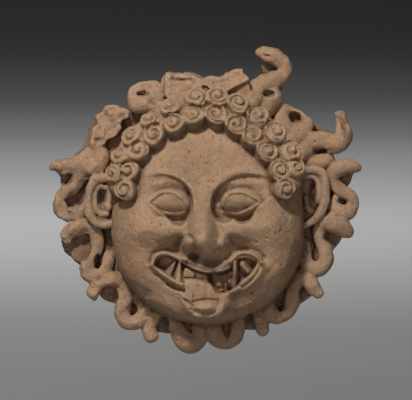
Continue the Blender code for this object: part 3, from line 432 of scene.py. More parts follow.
# Breaks above the hair: outlines of the slab's parts, their tops, the slope and the lines across it
SLAB_LEFT = [
    (-34, 84), (-33.4, 90), (-33.6, 96), (-30.5, 100.5), (-23, 100.4), (-13, 101.6), (-9, 100.6),
    (-5, 98.5), (-2, 96.8), (-3, 90), (-5, 82), (-20, 78), (-30, 80),
]
SLAB_RIGHT = [
    (-4, 92), (-3, 97), (4, 97.4), (10.5, 97.5), (15, 100.4), (20.5, 103), (28.5, 104.5), (29.6, 101),
    (33, 96.6), (31.2, 95), (24.4, 91.4), (16.6, 87), (9.6, 86.2), (4.8, 88), (1, 91),
]
SLAB_BEHIND = [(-30, 76), (-30, 88), (-4, 95), (14, 95), (30, 96), (34, 92), (37, 84), (32, 76)]
SLAB_NOTCH = [(-8, 80), (-8, 95), (6, 94), (10, 84), (0, 78)]
SLAB_LEFT_TOP = 38.0
SLAB_RIGHT_TOP = 36.0
SLAB_BEHIND_TOP = 32.0
SLAB_NOTCH_TOP = 34.0
SLAB_SLOPE = 0.35
SLAB_EDGE = 1.0
SLAB_BLEND = 0.8
SLAB_BREAK_HEADROOM = 8
SLAB_LINES = [
    ([(-27.2, 96.8), (-20, 95.8), (-11.2, 96.2)], 0.9, 2.6), ([(-31, 89.6), (-23, 91)], 1.2, 0.9),
    ([(-20, 86.4), (-12, 87.8), (-7, 87)], 1.1, 1.0),
    ([(4, 93.4), (12, 94), (20, 97.6), (27, 100.4)], 0.8, 0.8),
]

# The raised break on the left, the recess under it, and its stump
RECESS = [(-89.5, 68), (-74.5, 74), (-58, 71), (-36, 76), (-50, 50), (-76, 14), (-101, 32), (-94, 60)]
RECESS_TOP = 10.0
FRAGMENT = [
    (-89.6, 68), (-82.4, 74.4), (-74.4, 76), (-65.6, 73.6), (-62, 71.2), (-62.4, 66.4), (-67.6, 63.2),
    (-68.4, 57.6), (-72.8, 51.2), (-79.2, 48.8), (-82.4, 44), (-94.4, 40), (-92.4, 46.4), (-90.6, 52),
    (-91.4, 58), (-89, 62),
]
FRAGMENT_TOP = 19.5
BREAK_ROUNDING = 1.2
STUMP = [
    (-105.6, 34.8), (-94.4, 42.6), (-82.4, 46.4), (-79.4, 40), (-79, 32), (-83.4, 23.6), (-91, 18.4),
    (-99, 21), (-102.4, 28),
]
STUMP_TOP = 18.0
STUMP_ROUNDING = 5.0
STUMP_LUMP = [(-97, 25, 13, 14), (-88.6, 27, 16, 16), (-84.6, 34, 14, 14)]
STUMP_LUMP_BLEND = 3.0

# The lump of a broken coil beside the slab, and the plane that its broken face lies in: a place on it
# and the way it faces. Each has a window that it stays in.
COIL = [
    (-57.6, 79, 11, 22), (-56.6, 86, 11, 22), (-50, 90.6, 9, 21), (-43, 91, 9, 20), (-39.4, 86, 11, 21),
    (-40.4, 79, 11, 22), (-47, 75.4, 12, 23), (-54.2, 75, 12, 23), (-57.6, 79, 11, 22),
]
COIL_BLEND = 2.0
COIL_BALL = ((-48.4, 81.4), 14, (15, 12.6, 17))
COIL_BALL_WINDOW = ((-68, 64, LOW[2]), (-30, 98, 34))
COIL_BALL_BLEND = 3.0
COIL_FACET = ((-50, 92, 21.5), (0.1, 0.55, 0.83))
COIL_FACET_WINDOW = ((-66, 80, 14), (-34, 100, 40))
COIL_FACET_BLEND = 0.8

# The ears: how far forwards they are, the shell behind the rim, which runs on towards the head, then
# the rims, the inner ridges with what stands before the opening, and the hollows
EAR_DEPTH = 24.0
EAR_SHELL_DROP = 5.0
EAR_SHELL_ROOT = (70, 6)
EAR_SHELL_SHOULDER = (80, 3)
EAR_RIM_WIDTH = 6.6
EAR_RIM_DROP = 0.5
EAR_RIDGE_BLEND = 1.0
LEFT_EAR = [
    (-77, 16.5), (-82, 17.6), (-88, 16), (-92.4, 10), (-94, 0), (-92.6, -10), (-89, -17), (-82, -20),
    (-76, -19),
]
RIGHT_EAR = [(79, 23.5), (86, 24), (92.4, 21), (95.4, 13), (95, 0), (91.6, -9.6), (86, -16), (79, -20)]
EAR_RIDGES = [
    [(-79, 9.6, 4.4, 22), (-84, 11, 4.4, 22), (-88.2, 7.6, 4.4, 22), (-89.4, 0, 4.4, 22),
     (-88, -7.4, 4.6, 22), (-84, -11.4, 5, 22)],
    [(80, 18.4, 4.0, 22), (86, 18.6, 4.0, 22), (90, 14, 4.2, 22), (91, 5, 4.2, 22), (89, -1, 4.0, 21)],
    [(-76.6, 8, 4.6, 22), (-77, -1, 5, 22)], [(-78.2, -4.8, 6.6, 24), (-78, -5.4, 6.6, 24)],
    [(-83, -11.6, 5.4, 22), (-79.6, -11, 5, 23)], [(-87, -16, 8, 19), (-80, -17.4, 9, 19)],
    [(80, 2, 5, 20), (81, -6, 6, 20), (86, -10, 7, 18)],
]
EAR_HOLLOWS = [((-83.6, 1.6), 25, (4.0, 8.0, 12)), ((85.4, 7.4), 25, (4.4, 9.4, 12))]

# Broken faces: how wide their edges are, then the outline of each and how rough and pink it is
BREAK_EDGE = 4
BROKEN_PLACES = [
    (FRAGMENT, 0.8), ([(-36, 89), (-35, 102), (-4, 103), (-4, 91)], 1.0),
    ([(-4, 94), (-3, 102), (30, 106), (35, 96), (18, 90)], 0.5),
    ([(-60, 84), (-56, 92), (-42, 94), (-36, 88)], 0.8),
    ([(-108, 38), (-84, 44), (-80, 20), (-92, 14), (-106, 24)], 0.7),
    ([(12, -52), (22, -47), (42, -46), (44, -54), (30, -68), (14, -74)], 0.45),
    ([(-16, -78), (12, -80), (16, -94), (-14, -94)], 0.4),
    ([(-115, -22), (-97, -18), (-97, -36), (-114, -36)], 0.6),
    ([(-59, -74), (-46, -78), (-44, -94), (-54, -98), (-60, -86)], 0.8),
    ([(-18, -108), (-6, -106), (-6, -118), (-20, -118)], 0.5),
    ([(102, 72), (111, 68), (116, 54), (102, 52)], 0.8),
    ([(-124, 32), (-98, 32), (-98, 16), (-124, 16)], 0.5),
    ([(-124, 16), (-96, 16), (-96, -62), (-118, -62)], 0.45),
    ([(-96, -60), (-74, -60), (-48, -104), (-96, -84)], 0.4),
    ([(98, 60), (112, 60), (112, 40), (98, 40)], 0.35), ([(40, 120), (68, 120), (68, 92), (40, 92)], 0.2),
]

# Yellowish deposits: place, half-axes and strength
DEPOSITS = [
    ((29, 1.5), (8, 4), 0.9), ((40, -58), (6, 6), 0.8), ((33, 54), (2.2, 3), 0.9),
    ((-24, -9), (9, 3), 0.5), ((56, 34), (5, 5), 0.5), ((90, -24), (10, 6), 0.5),
    ((-100, -26), (9, 6), 0.5), ((45, 100), (8, 8), 0.4), ((-60, 40), (6, 8), 0.4),
    ((60, 20), (8, 10), 0.4), ((-40, -94), (14, 6), 0.4), ((88, -60), (8, 6), 0.4),
]

# Painted shade with some dark grime, along furrows: under the hair and the nose, in the mouth, by the eyes
# and ears, and in the crevices round the head and snakes. Line, half-width and strength
SHADE_AND_GRIME = [
    ([(-70, 1), (-57, 3), (-53.6, 18), (-47.6, 34), (-37, 44.6), (-23, 53), (-9, 59.4), (7.6, 59.6),
      (21, 52), (32, 43.6), (42.6, 33.6), (51.6, 22), (55, 6), (64, -1)], 3.4, 0.75),
    ([(-15, -50), (-8, -52.6), (2, -54.6), (12, -54.2), (18, -51.6)], 3.4, 0.85),
    ([(4, -61), (12, -63), (18, -66), (24, -60)], 6.0, 0.8),
    ([(-38, -51), (-33, -52), (-28, -54)], 4.0, 0.6),
    ([(27, -56), (31, -60), (35, -52), (30, -49.6)], 3.0, 0.5),
    ([(-10, -45.6), (-4, -48.6), (4, -49.6), (12, -48.4)], 3.0, 0.6),
    ([(-20, -31), (-24, -35)], 3.0, 0.3),
    ([(-76, -52), (-66, -66), (-52, -80), (-36, -91), (-16, -99), (6, -101), (28, -97), (46, -88),
      (62, -74), (74, -58)], 3.0, 0.6),
    ([(-81, -24), (-78, -40)], 3.0, 0.5), ([(80, -26), (80, -44)], 3.0, 0.5),
    ([(-84, 8), (-84, -5)], 4.0, 0.5), ([(85, 14), (85, 0)], 4.0, 0.5),
    ([(42, 108), (47, 101), (50, 104)], 3.0, 0.5), ([(30, -43), (37, -44.6), (42.6, -49)], 2.6, 0.5),
    ([(108, 68), (110, 60), (112, 54)], 3.6, 0.6),
    ([(-118, 26), (-102, 24), (-106, 10), (-117, -4), (-104, -10)], 7.0, 0.3),
    ([(-110, -26), (-96, -22), (-88, -34), (-95, -56)], 7.0, 0.2),
    ([(118, 26), (103, 20), (110, 6), (117, -4)], 7.0, 0.27),
    ([(110, -24), (96, -18), (91, -30)], 7.0, 0.15), ([(-38, -3), (-22, -3)], 5.0, 0.22),
    ([(18, -3), (34, -3)], 5.0, 0.5), ([(70, 68), (76, 64)], 4.0, 0.5),
    ([(80, 22), (92, 20), (95, 10), (94, -4), (86, -16)], 5.0, 0.3),
    ([(-80, 15), (-90, 10), (-93, -4), (-86, -17)], 4.0, 0.15), ([(-114, 14), (-109, 16)], 4.0, 0.5),
]

# Orange places of the clay: place, half-axes and strength
WARM_PLACES = [
    ((47, 114), (7, 5), 0.6), ((62, 104), (5, 8), 0.5), ((80, 56), (6, 7), 0.7), ((98, 44), (9, 5), 0.6),
    ((84, 32), (9, 7), 0.5), ((-118, 27), (6, 4), 0.7), ((72, 38), (5, 5), 0.4), ((112, 26), (6, 4), 0.4),
    ((56, -60), (12, 16), 0.35), ((-60, -40), (10, 18), 0.3), ((-88, -70), (8, 6), 0.4),
    ((70, -80), (8, 8), 0.3), ((-44, 55), (8, 8), 0.3), ((-118, -2), (6, 8), 0.35),
    ((114, 4), (6, 8), 0.3),
]

# Colours of the clay; the dark one is also laid on as painted shade
CLAY_TAN = (0.47, 0.30, 0.185, 1)
CLAY_BROWN = (0.36, 0.225, 0.14, 1)
CLAY_RED = (0.40, 0.22, 0.13, 1)
CLAY_PALE = (0.60, 0.44, 0.30, 1)
CLAY_DARK_AND_SHADE = (0.13, 0.075, 0.045, 1)
CLAY_BROKEN = (0.47, 0.29, 0.20, 1)
CLAY_YELLOW = (0.52, 0.37, 0.17, 1)
CLAY_ORANGE = (0.56, 0.29, 0.14, 1)

# The floor and the paper behind, in metres, and the paper's grey at each height, a painted falloff of
# light from the pale floor to dark grey up the wall
FLOOR_HEIGHT = -0.32
FLOOR_HALF_WIDTH = 8.0
WALL_DISTANCE = 4.0
WALL_TOP = 6.0
SWEEP = 1.6
SWEEP_CORNERS = 24
PAPER_PAINTED_LIGHT = [
    (-0.33, 0.34), (-0.26, 0.34), (-0.17, 0.42), (-0.05, 0.66), (0.03, 0.50), (0.09, 0.30), (0.145, 0.14),
    (0.22, 0.055), (0.34, 0.028),
]

# Lights: place and target in metres, side of the square, watts and colour
WARM_WHITE = (1.0, 0.97, 0.92)
COOL_WHITE = (0.98, 0.98, 1.0)
LIGHTS = {
    "key": ((-0.55, -1.8, 1.7), (0, 0, 0), 0.3, 54, WARM_WHITE),
    "fill_right": ((1.0, -2.2, -0.04), (0, 0, 0), 0.5, 5.4, COOL_WHITE),
    "fill_left": ((-0.9, -2.2, -0.04), (0, 0, 0), 0.5, 4.6, COOL_WHITE),
    "paper_light": ((-0.8, 1.8, 1.6), (-0.1, 5.5, 0.0), 1.6, 86, (1.0, 1.0, 1.0)),
}

# The photograph's frame: its width in pixels, and millimetres to a pixel at the object's mid-depth.
# The camera's distance and that depth are in metres, and its sensor's width in millimetres.
IMAGE_WIDTH = 412
MM_PER_PIXEL = 0.8
CAMERA_DISTANCE = 5.0
MID_DEPTH = 0.02
SENSOR = 36.0


def bent(points, steps=4):
    """A smooth line through the points, with this many steps between each two."""
    knots = np.array(points, float)
    padded = np.vstack([2 * knots[0] - knots[1], knots, 2 * knots[-1] - knots[-2]])
    line = []
    for k in range(len(knots) - 1):
        before, start, end, after = padded[k:k + 4]
        for share in np.arange(steps) / steps:
            line.append(0.5 * (2 * start + (end - before) * share
                               + (2 * before - 5 * start + 4 * end - after) * share ** 2
                               + (3 * start - before - 3 * end + after) * share ** 3))
    return np.array(line + [knots[-1]])


def ringed(points, steps=4):
    """A smooth closed outline through the points."""
    count = len(points)
    wrapped = [points[k % count] for k in range(-2, count + 3)]
    line = bent(wrapped, steps)
    return line[2 * steps:(count + 2) * steps]


def line_distance(x, z, line):
    """How far each place is from the bent line."""
    nearest = np.full(np.broadcast(x, z).shape, 1e9, np.float32)
    for (x0, z0), (x1, z1) in zip(line[:-1], line[1:]):
        run_x, run_z = x1 - x0, z1 - z0
        length = run_x ** 2 + run_z ** 2
        if length < LEAST_LENGTH:
            continue
        along = np.clip(((x - x0) * run_x + (z - z0) * run_z) / length, 0, 1)
        gap = (x - x0 - along * run_x) ** 2 + (z - z0 - along * run_z) ** 2
        nearest = np.minimum(nearest, gap)
    return np.sqrt(nearest)


def inside_distance(x, z, outline):
    """How far inside the closed outline each place is, negative outside it."""
    inside = np.zeros(np.broadcast(x, z).shape, bool)
    ring = np.array([*outline, outline[0]], float)
    for (x0, z0), (x1, z1) in zip(ring[:-1], ring[1:]):
        if z0 != z1:
            inside ^= ((z0 > z) != (z1 > z)) & (x < (x1 - x0) * (z - z0) / (z1 - z0) + x0)
    distance = line_distance(x, z, ring)
    return np.where(inside, distance, -distance)


def step(value, edge):
    """0 below nought, 1 above the edge's width, smooth between."""
    share = np.clip(value / edge, 0, 1)
    return share * share * (3 - 2 * share)


def swell(x, z, middle, half_axes, height, steep):
    """A smooth swelling, or a hollow where the height is negative."""
    across = (x - middle[0]) / half_axes[0]
    up = (z - middle[1]) / half_axes[1]
    return height * np.exp(-(across ** 2 + up ** 2) ** steep)


def ridge(x, z, points, half_width, height):
    """A rounded ridge along a line, or a furrow where the height is negative."""
    distance = line_distance(x, z, bent(points))
    return height * np.exp(-(distance / half_width) ** 2)


def around(middle, reach):
    """The two corners of a window that reaches this far from its middle."""
    return np.subtract(middle, reach), np.add(middle, reach)


def join(a, b, blend):
    """The union of two fields with a fillet of this size."""
    overlap = np.maximum(blend - np.abs(a - b), 0) / blend
    return np.minimum(a, b) - overlap * overlap * blend / 4


def carve(a, b, blend):
    """Field a with b cut out of it, its edges worn to this size."""
    return -join(-a, b, blend)


class Block:
    """The block of cells and the clay in it."""

    def __init__(self):
        counts = [int(round((high - low) / CELL)) + 1 for low, high in zip(LOW, HIGH)]
        self.axes = [low + CELL * np.arange(count, dtype=np.float32) for low, count in zip(LOW, counts)]
        self.field = np.full(counts, FAR, np.float32)

    def window(self, low, high):
        """The cells between two corners: their slices and their open grids of x, z and depth."""
        cuts = []
        for axis, start, end in zip(self.axes, low, high):
            first, last = np.searchsorted(axis, (start, end))
            cuts.append(slice(max(first - 1, 0), min(last + 1, len(axis))))
        x, z, depth = (axis[cut] for axis, cut in zip(self.axes, cuts))
        return tuple(cuts), x[:, None, None], z[None, :, None], depth[None, None, :]

    def add(self, low, high, shape, blend=BLEND):
        """Joins a shape to the clay between two corners."""
        cuts, x, z, depth = self.window(low, high)
        self.field[cuts] = join(self.field[cuts], shape(x, z, depth).astype(np.float32), blend)

    def cut(self, low, high, shape, blend):
        """Cuts a shape out of the clay between two corners."""
        cuts, x, z, depth = self.window(low, high)
        self.field[cuts] = carve(self.field[cuts], shape(x, z, depth).astype(np.float32), blend)


def set_eye(relief, x, z, outline, mound, fade):
    """The relief with a bulging mound and an almond eyeball set in it."""
    (middle_x, middle_z), (half_x, half_z), height = mound
    reach = ((x - middle_x) / half_x) ** 2 + ((z - middle_z) / half_z) ** 2
    relief = relief + fade * height * np.clip(1 - reach, 0, 1) ** MOUND_FULLNESS
    inside = inside_distance(x, z, ringed(outline))
    ball = EYEBALL_RISE * np.sqrt(np.clip(1 - (1 - np.clip(inside / EYEBALL_REACH, 0, 1)) ** 2, 0, 1))
    drop = -EYE_RIM_DROP * step(inside + EYE_RIM_OUT, EYE_RIM_EDGE)
    return relief + drop + ball


def nose(x, z):
    """The ridge of the nose with its tip."""
    heights, offsets, proud, widths = np.array(NOSE, float)[::-1].T
    offset = np.interp(z, heights, offsets)
    width = np.interp(z, heights, widths)
    across = np.clip(np.abs(x - offset) / width, 0, 1)
    return np.interp(z, heights, proud) * (1 - across ** 2) ** NOSE_FULLNESS + swell(x, z, *NOSE_TIP)


def spike(x, z, root, tip, half_width, height):
    """A tooth's height along and across its axis, far below nought outside it."""
    run_x, run_z = tip[0] - root[0], tip[1] - root[1]
    length = math.hypot(run_x, run_z)
    along = ((x - root[0]) * run_x + (z - root[1]) * run_z) / length ** 2
    across = np.abs((x - root[0]) * run_z - (z - root[1]) * run_x) / length
    share = across / (half_width * (1 - np.clip(along, 0, 1)) + SPIKE_TIP)
    body = height * (1 - SPIKE_TAPER * np.clip(along, 0, 1)) * (1 - np.clip(share, 0, 2) ** SPIKE_FULLNESS)
    return np.where((along > SPIKE_ENDS[0]) & (along < SPIKE_ENDS[1]), body, -FAR)


def socket(x, z, outline, fade):
    """A hollow that is shallow under the brow, and deep beside the nose and over the cheek."""
    ring = ringed(outline)
    edge = CHEEK_EDGE + (BROW_EDGE - CHEEK_EDGE) * step(z, SOCKET_EDGE_RISE)
    inside = inside_distance(x, z, ring)
    heights, depths = np.array(SOCKET_DEPTHS, float).T
    inner = ring[np.argmin(np.abs(ring[:, 0] - HEAD_CENTRE[0])), 0]
    by_nose = SOCKET_BY_NOSE * np.exp(-((x - inner) / SOCKET_BY_NOSE_WIDTH) ** 2)
    by_nose = by_nose * step(z - SOCKET_BY_NOSE_FROM, SOCKET_BY_NOSE_RISE)
    depth = np.interp(z, heights, depths) + by_nose
    return -depth * step(inside + edge / 2, edge) * fade


def levelled(relief, inside, level, edge):
    """The relief brought to this level inside an outline, over an edge of this width."""
    return relief + (level - relief) * step(inside + edge / 2, edge)


def face_relief(x, z):
    """How far the face stands proud of the plain head at each place."""
    relief = sum(swell(x, z, *form) for form in SWELLINGS.values())
    for (outline, temple, run_out), eye, mound in ((LEFT_SOCKET, LEFT_EYE, LEFT_MOUND),
                                                   (RIGHT_SOCKET, RIGHT_EYE, RIGHT_MOUND)):
        fade = step(np.abs(x - temple), run_out)
        relief = set_eye(relief + socket(x, z, outline, fade), x, z, eye, mound, fade)
    relief += nose(x, z) + swell(x, z, *LEFT_WING) + swell(x, z, *RIGHT_WING)
    relief += sum(ridge(x, z, *form) for form in RIDGES.values())
    for form in NOSTRILS:
        relief -= swell(x, z, *form)
    for outline, edge, level in MOUTH_LEVELS:
        relief = levelled(relief, inside_distance(x, z, ringed(outline, 3)), level, edge)
    relief += sum(swell(x, z, *form) for form in RUBBLE)
    for form in SPIKES:
        relief = np.maximum(relief, MOUTH_FLOOR + spike(x, z, *form))
    for line, half_width, height in EYETEETH:
        near = line_distance(x, z, bent(line)) < 2 * half_width
        tooth = MOUTH_FLOOR + ridge(x, z, line, half_width, height)
        relief = np.where(near, np.maximum(relief, tooth), relief)
    inside = inside_distance(x, z, ringed(TONGUE, 3))
    level = TONGUE_ROOT_LEVEL + np.minimum(TONGUE_SLOPE * (z - TONGUE[1][1]), TONGUE_LOWEST_GAIN)
    level = level + TONGUE_DOME * (step(inside, TONGUE_DOME_EDGE) - 1) + swell(x, z, *TONGUE_END)
    relief = levelled(relief, inside, level, TONGUE_EDGE)
    for line, half_width, depth in CRACKS:
        relief += ridge(x, z, line, half_width, -depth)
    return relief


def crown_sink(x, z):
    """How far the crown is sunk outside the back row of curls."""
    outline = [place for place, *_ in BACK_CURLS] + BELOW_CROWN
    return -CROWN_SINK * step(-inside_distance(x, z, outline), CROWN_SINK_EDGE)


def head_half_height(z):
    """The half-height of the crown above the head's middle, and of the jaw below it."""
    return np.where(z > HEAD_CENTRE[1], CROWN_HALF_HEIGHT, JAW_HALF_HEIGHT)


def plain_head_depth(x, z):
    """The depth of the head without its relief."""
    reach = (abs(x - HEAD_CENTRE[0]) / HEAD_HALF_WIDTH) ** HEAD_FULLNESS
    reach += (abs(z - HEAD_CENTRE[1]) / float(head_half_height(z))) ** HEAD_FULLNESS
    reach **= PROFILE_FULLNESS / HEAD_FULLNESS
    return PLATE + (FACE_BULGE - PLATE) * max(1 - reach, 0) ** (1 / PROFILE_FULLNESS)


def head_shape(x, z, depth):
    """The distance from the head's surface, its relief laid on from the front."""
    rim = np.hypot((x - HEAD_CENTRE[0]) / HEAD_HALF_WIDTH, (z - HEAD_CENTRE[1]) / head_half_height(z))
    flat = face_relief(x[:, :, 0], z[:, :, 0]) + crown_sink(x[:, :, 0], z[:, :, 0])
    relief = (flat[:, :, None] * step(1 - rim, RELIEF_EDGE)).astype(np.float32)
    half_x, half_z = HEAD_HALF_WIDTH + relief, head_half_height(z) + relief
    bulge = FACE_BULGE - PLATE + relief
    share_x = np.maximum(np.abs(x - HEAD_CENTRE[0]), LEAST_OFFSET) / half_x
    share_z = np.maximum(np.abs(z - HEAD_CENTRE[1]), LEAST_OFFSET) / half_z
    share_d = np.maximum(depth - PLATE, LEAST_OFFSET) / bulge
    out = (share_x ** HEAD_FULLNESS + share_z ** HEAD_FULLNESS) ** (1 / HEAD_FULLNESS)
    reach = (out ** PROFILE_FULLNESS + share_d ** PROFILE_FULLNESS) ** (1 / PROFILE_FULLNESS)
    out_x = (share_x / out) ** (HEAD_FULLNESS - 1) / half_x
    out_z = (share_z / out) ** (HEAD_FULLNESS - 1) / half_z
    flank = (out / reach) ** (PROFILE_FULLNESS - 1)
    front = (share_d / reach) ** (PROFILE_FULLNESS - 1) / bulge
    slope = np.sqrt((flank * out_x) ** 2 + (flank * out_z) ** 2 + front ** 2)
    return np.clip((reach - 1) / np.maximum(slope, LEAST_SLOPE), -FAR, FAR)


def add_slab(block, outline, top, rounding=SLAB_ROUNDING, blend=BLEND, slope=0.0, lines=(),
             headroom=SLAB_HEADROOM):
    """A slab up to this depth at its outline's first corner, sloped and cut by lines if need be."""
    def shape(x, z, depth):
        flat_x, flat_z = x[:, :, 0], z[:, :, 0]
        inside = inside_distance(flat_x, flat_z, outline)
        level = top - slope * (flat_z - outline[0][1]) + 0 * flat_x
        for line, half_width, line_depth in lines:
            level += ridge(flat_x, flat_z, line, half_width, -line_depth)
        return -join(inside[:, :, None], level[:, :, None] - depth, rounding)

    corners = np.array(outline, float)
    low = (*(corners.min(0) - SLAB_MARGIN), LOW[2])
    high = (*(corners.max(0) + SLAB_MARGIN), top + headroom)
    block.add(low, high, shape, blend)


def roll_shape(line):
    """A roll along a line of x, z, radius and depth."""
    def shape(x, z, depth):
        nearest = np.full(np.broadcast(x, z, depth).shape, FAR, np.float32)
        for (x0, z0, r0, d0), (x1, z1, r1, d1) in zip(line[:-1], line[1:]):
            run = (x1 - x0, z1 - z0, d1 - d0)
            length = run[0] ** 2 + run[1] ** 2 + run[2] ** 2
            if length < LEAST_LENGTH:
                continue
            along = np.clip(((x - x0) * run[0] + (z - z0) * run[1] + (depth - d0) * run[2]) / length, 0, 1)
            gap = np.sqrt((x - x0 - along * run[0]) ** 2 + (z - z0 - along * run[1]) ** 2
                          + (depth - d0 - along * run[2]) ** 2) - (r0 + along * (r1 - r0))
            nearest = np.minimum(nearest, gap)
        return nearest
    return shape


def add_roll(block, places, blend=BLEND):
    """A roll of clay through places of x, z, width and depth."""
    line = bent(places) * np.array([1, 1, 0.5, 1])
    axis, reach = line[:, (0, 1, 3)], line[:, 2].max() + MARGIN
    block.add(axis.min(0) - reach, axis.max(0) + reach, roll_shape(line), blend)


class Curl:
    """A snail curl: a peg of clay that leans outwards, with a spiral cut into its end."""

    def __init__(self, place, radius, turns, start, eye, face_depth, tilt):
        self.place, self.radius, self.eye, self.face_depth = place, radius, eye, face_depth
        outwards = np.array([place[0] - HEAD_CENTRE[0], place[1]], float)
        outwards /= np.hypot(*outwards)
        self.facing = np.array([outwards[0] * tilt, outwards[1] * tilt, 1.0])
        self.facing /= np.linalg.norm(self.facing)
        self.across = np.array([-outwards[1], outwards[0], 0.0])
        self.upwards = np.cross(self.facing, self.across)
        side = 1 if place[0] < 0 else -1
        sweep = np.linspace(0, 1, CURL_SPIRAL_CORNERS)
        inwards = (CURL_SPIRAL_OUT - CURL_SPIRAL_IN) * sweep ** CURL_SPIRAL_QUICKENING
        reach = radius * (CURL_SPIRAL_OUT - inwards)
        self.start = math.radians(start)
        angles = self.start + side * 2 * math.pi * turns * sweep
        self.spiral = np.stack([reach * np.cos(angles), reach * np.sin(angles)], axis=1)

    def local(self, x, z, depth):
        """Places seen along the curl's own axes: two across its end, and the way it faces."""
        from_place = (x - self.place[0], z - self.place[1], depth - self.face_depth)
        axes = (self.across, self.upwards, self.facing)
        return [sum(a * b for a, b in zip(from_place, axis)) for axis in axes]

    def crown(self, out):
        """The height of the end's surface, domed and with its knob or hole."""
        return self.eye * np.exp(-(out / (CURL_EYE_WIDTH * self.radius)) ** 2) - CURL_DOME * out ** 2

    def body(self, x, z, depth):
        u, v, w = self.local(x, z, depth)
        out = np.hypot(u, v)
        turn = np.arctan2(v, u) - self.start
        wobble = CURL_WOBBLE * (np.sin(2 * turn) + np.sin(3 * turn + self.start))
        wall = out - self.radius * (1 + wobble)
        peg = -join(-wall, self.crown(out) - w, CURL_CROWN_BLEND)
        return -join(-peg, w + CURL_LENGTH, CURL_ROOT_BLEND)

    def groove(self, x, z, depth):
        u, v, w = self.local(x, z, depth)
        aside = line_distance(u, v, self.spiral)
        above = (w - self.crown(np.hypot(u, v)) - CURL_GROOVE_LIFT) * CURL_GROOVE_SQUASH
        return np.hypot(aside, above) - CURL_GROOVE

    def window(self, reach, behind):
        low, high = around(self.place, reach)
        return (*low, self.face_depth - behind), (*high, self.face_depth + CURL_HEADROOM)


def add_hair(block):
    """The mass of hair with its two rows of curls."""
    fronts = np.array([front for front, *_ in FRONT_CURLS], float)
    backs = np.array([back for back, *_ in BACK_CURLS], float)
    depths = [plain_head_depth(*front) + CURL_RISE for front, *_ in FRONT_CURLS]
    middles = (1 - HAIR_MIDDLE) * fronts + HAIR_MIDDLE * backs
    for drop in HAIR_LAYERS:
        add_roll(block, [(x, z, 2 * HAIR_ROLL_RADIUS, max(PLATE, depth - drop))
                         for (x, z), depth in zip(middles, depths)])
    for row, line, tilt, drop, sink in (
            (BACK_CURLS, backs + BACK_ROW_INWARDS * (fronts - backs), BACK_TILT, BACK_DROP, BACK_SINK),
            (FRONT_CURLS, fronts, FRONT_TILT, 0.0, FRONT_SINK)):
        add_roll(block, [(x, z, HAIR_ROW_WIDTH, depth - drop - sink)
                         for (x, z), depth in zip(line, depths)])
        curls = [Curl(*curl, depth - drop, tilt) for curl, depth in zip(row, depths)]
        for curl in curls:
            reach = curl.radius + CURL_LENGTH * CURL_LEAN_REACH
            window = curl.window(reach, CURL_LENGTH + CURL_BEHIND)
            block.add(*window, curl.body, CURL_BLEND)
        for curl in curls:
            window = curl.window(curl.radius + CURL_BEHIND, CURL_GROOVE_BEHIND)
            block.cut(*window, curl.groove, CURL_GROOVE_BLEND)


def ellipsoid(place, depth, half_axes):
    """Roughly the distance from an ellipsoid's surface."""
    def shape(x, z, d):
        reach = np.sqrt(((x - place[0]) / half_axes[0]) ** 2 + ((z - place[1]) / half_axes[1]) ** 2
                        + ((d - depth) / half_axes[2]) ** 2)
        return (reach - 1) * min(half_axes)
    return shape


def cut_hollow(block, place, depth, half_axes):
    window = around((*place, depth), np.add(half_axes, MARGIN))
    block.cut(*window, ellipsoid(place, depth, half_axes), BLEND)


def add_ears(block):
    """Each ear's shell and rim, with its hollow and what stands in and before it."""
    (root, root_rise), (shoulder, shoulder_rise) = EAR_SHELL_ROOT, EAR_SHELL_SHOULDER
    for rim in (LEFT_EAR, RIGHT_EAR):
        side = 1 if rim[0][0] > 0 else -1
        top, bottom = rim[0][1], rim[-1][1]
        shell = rim + [(side * root, bottom), (side * root, top + root_rise),
                       (side * shoulder, top + shoulder_rise)]
        add_slab(block, shell, EAR_DEPTH - EAR_SHELL_DROP)
        add_roll(block, [(x, z, EAR_RIM_WIDTH, EAR_DEPTH - EAR_RIM_DROP) for x, z in rim])
    for hollow in EAR_HOLLOWS:
        cut_hollow(block, *hollow)
    for places in EAR_RIDGES:
        add_roll(block, places, EAR_RIDGE_BLEND)


def add_breaks(block):
    """The broken slab over the hair, the lump of a coil, and the raised break with its stump."""
    def beyond_facet(x, z, depth):
        place, facing = COIL_FACET
        return -((x - place[0]) * facing[0] + (z - place[1]) * facing[1] + (depth - place[2]) * facing[2])

    add_slab(block, RECESS, RECESS_TOP)
    add_slab(block, SLAB_BEHIND, SLAB_BEHIND_TOP)
    add_slab(block, SLAB_NOTCH, SLAB_NOTCH_TOP, BREAK_ROUNDING)
    for outline, top in ((SLAB_LEFT, SLAB_LEFT_TOP), (SLAB_RIGHT, SLAB_RIGHT_TOP)):
        add_slab(block, outline, top, SLAB_EDGE, SLAB_BLEND, SLAB_SLOPE, SLAB_LINES, SLAB_BREAK_HEADROOM)
    add_slab(block, FRAGMENT, FRAGMENT_TOP, BREAK_ROUNDING)
    add_slab(block, STUMP, STUMP_TOP, STUMP_ROUNDING)
    add_roll(block, STUMP_LUMP, STUMP_LUMP_BLEND)
    add_roll(block, COIL, COIL_BLEND)
    block.add(*COIL_BALL_WINDOW, ellipsoid(*COIL_BALL), COIL_BALL_BLEND)
    block.cut(*COIL_FACET_WINDOW, beyond_facet, COIL_FACET_BLEND)


def spline_weights(axis, spacing):
    """The share of each lattice knot in each cell along an axis, on a cubic spline."""
    places = (axis - axis[0]) / spacing
    first = np.floor(places).astype(int)
    t = places - first
    shares = ((1 - t) ** 3, 3 * t ** 3 - 6 * t ** 2 + 4, -3 * t ** 3 + 3 * t ** 2 + 3 * t + 1, t ** 3)
    weights = np.zeros((len(axis), first.max() + 4), np.float32)
    for offset, share in enumerate(shares):
        weights[np.arange(len(axis)), first + offset] = share / 6
    return weights


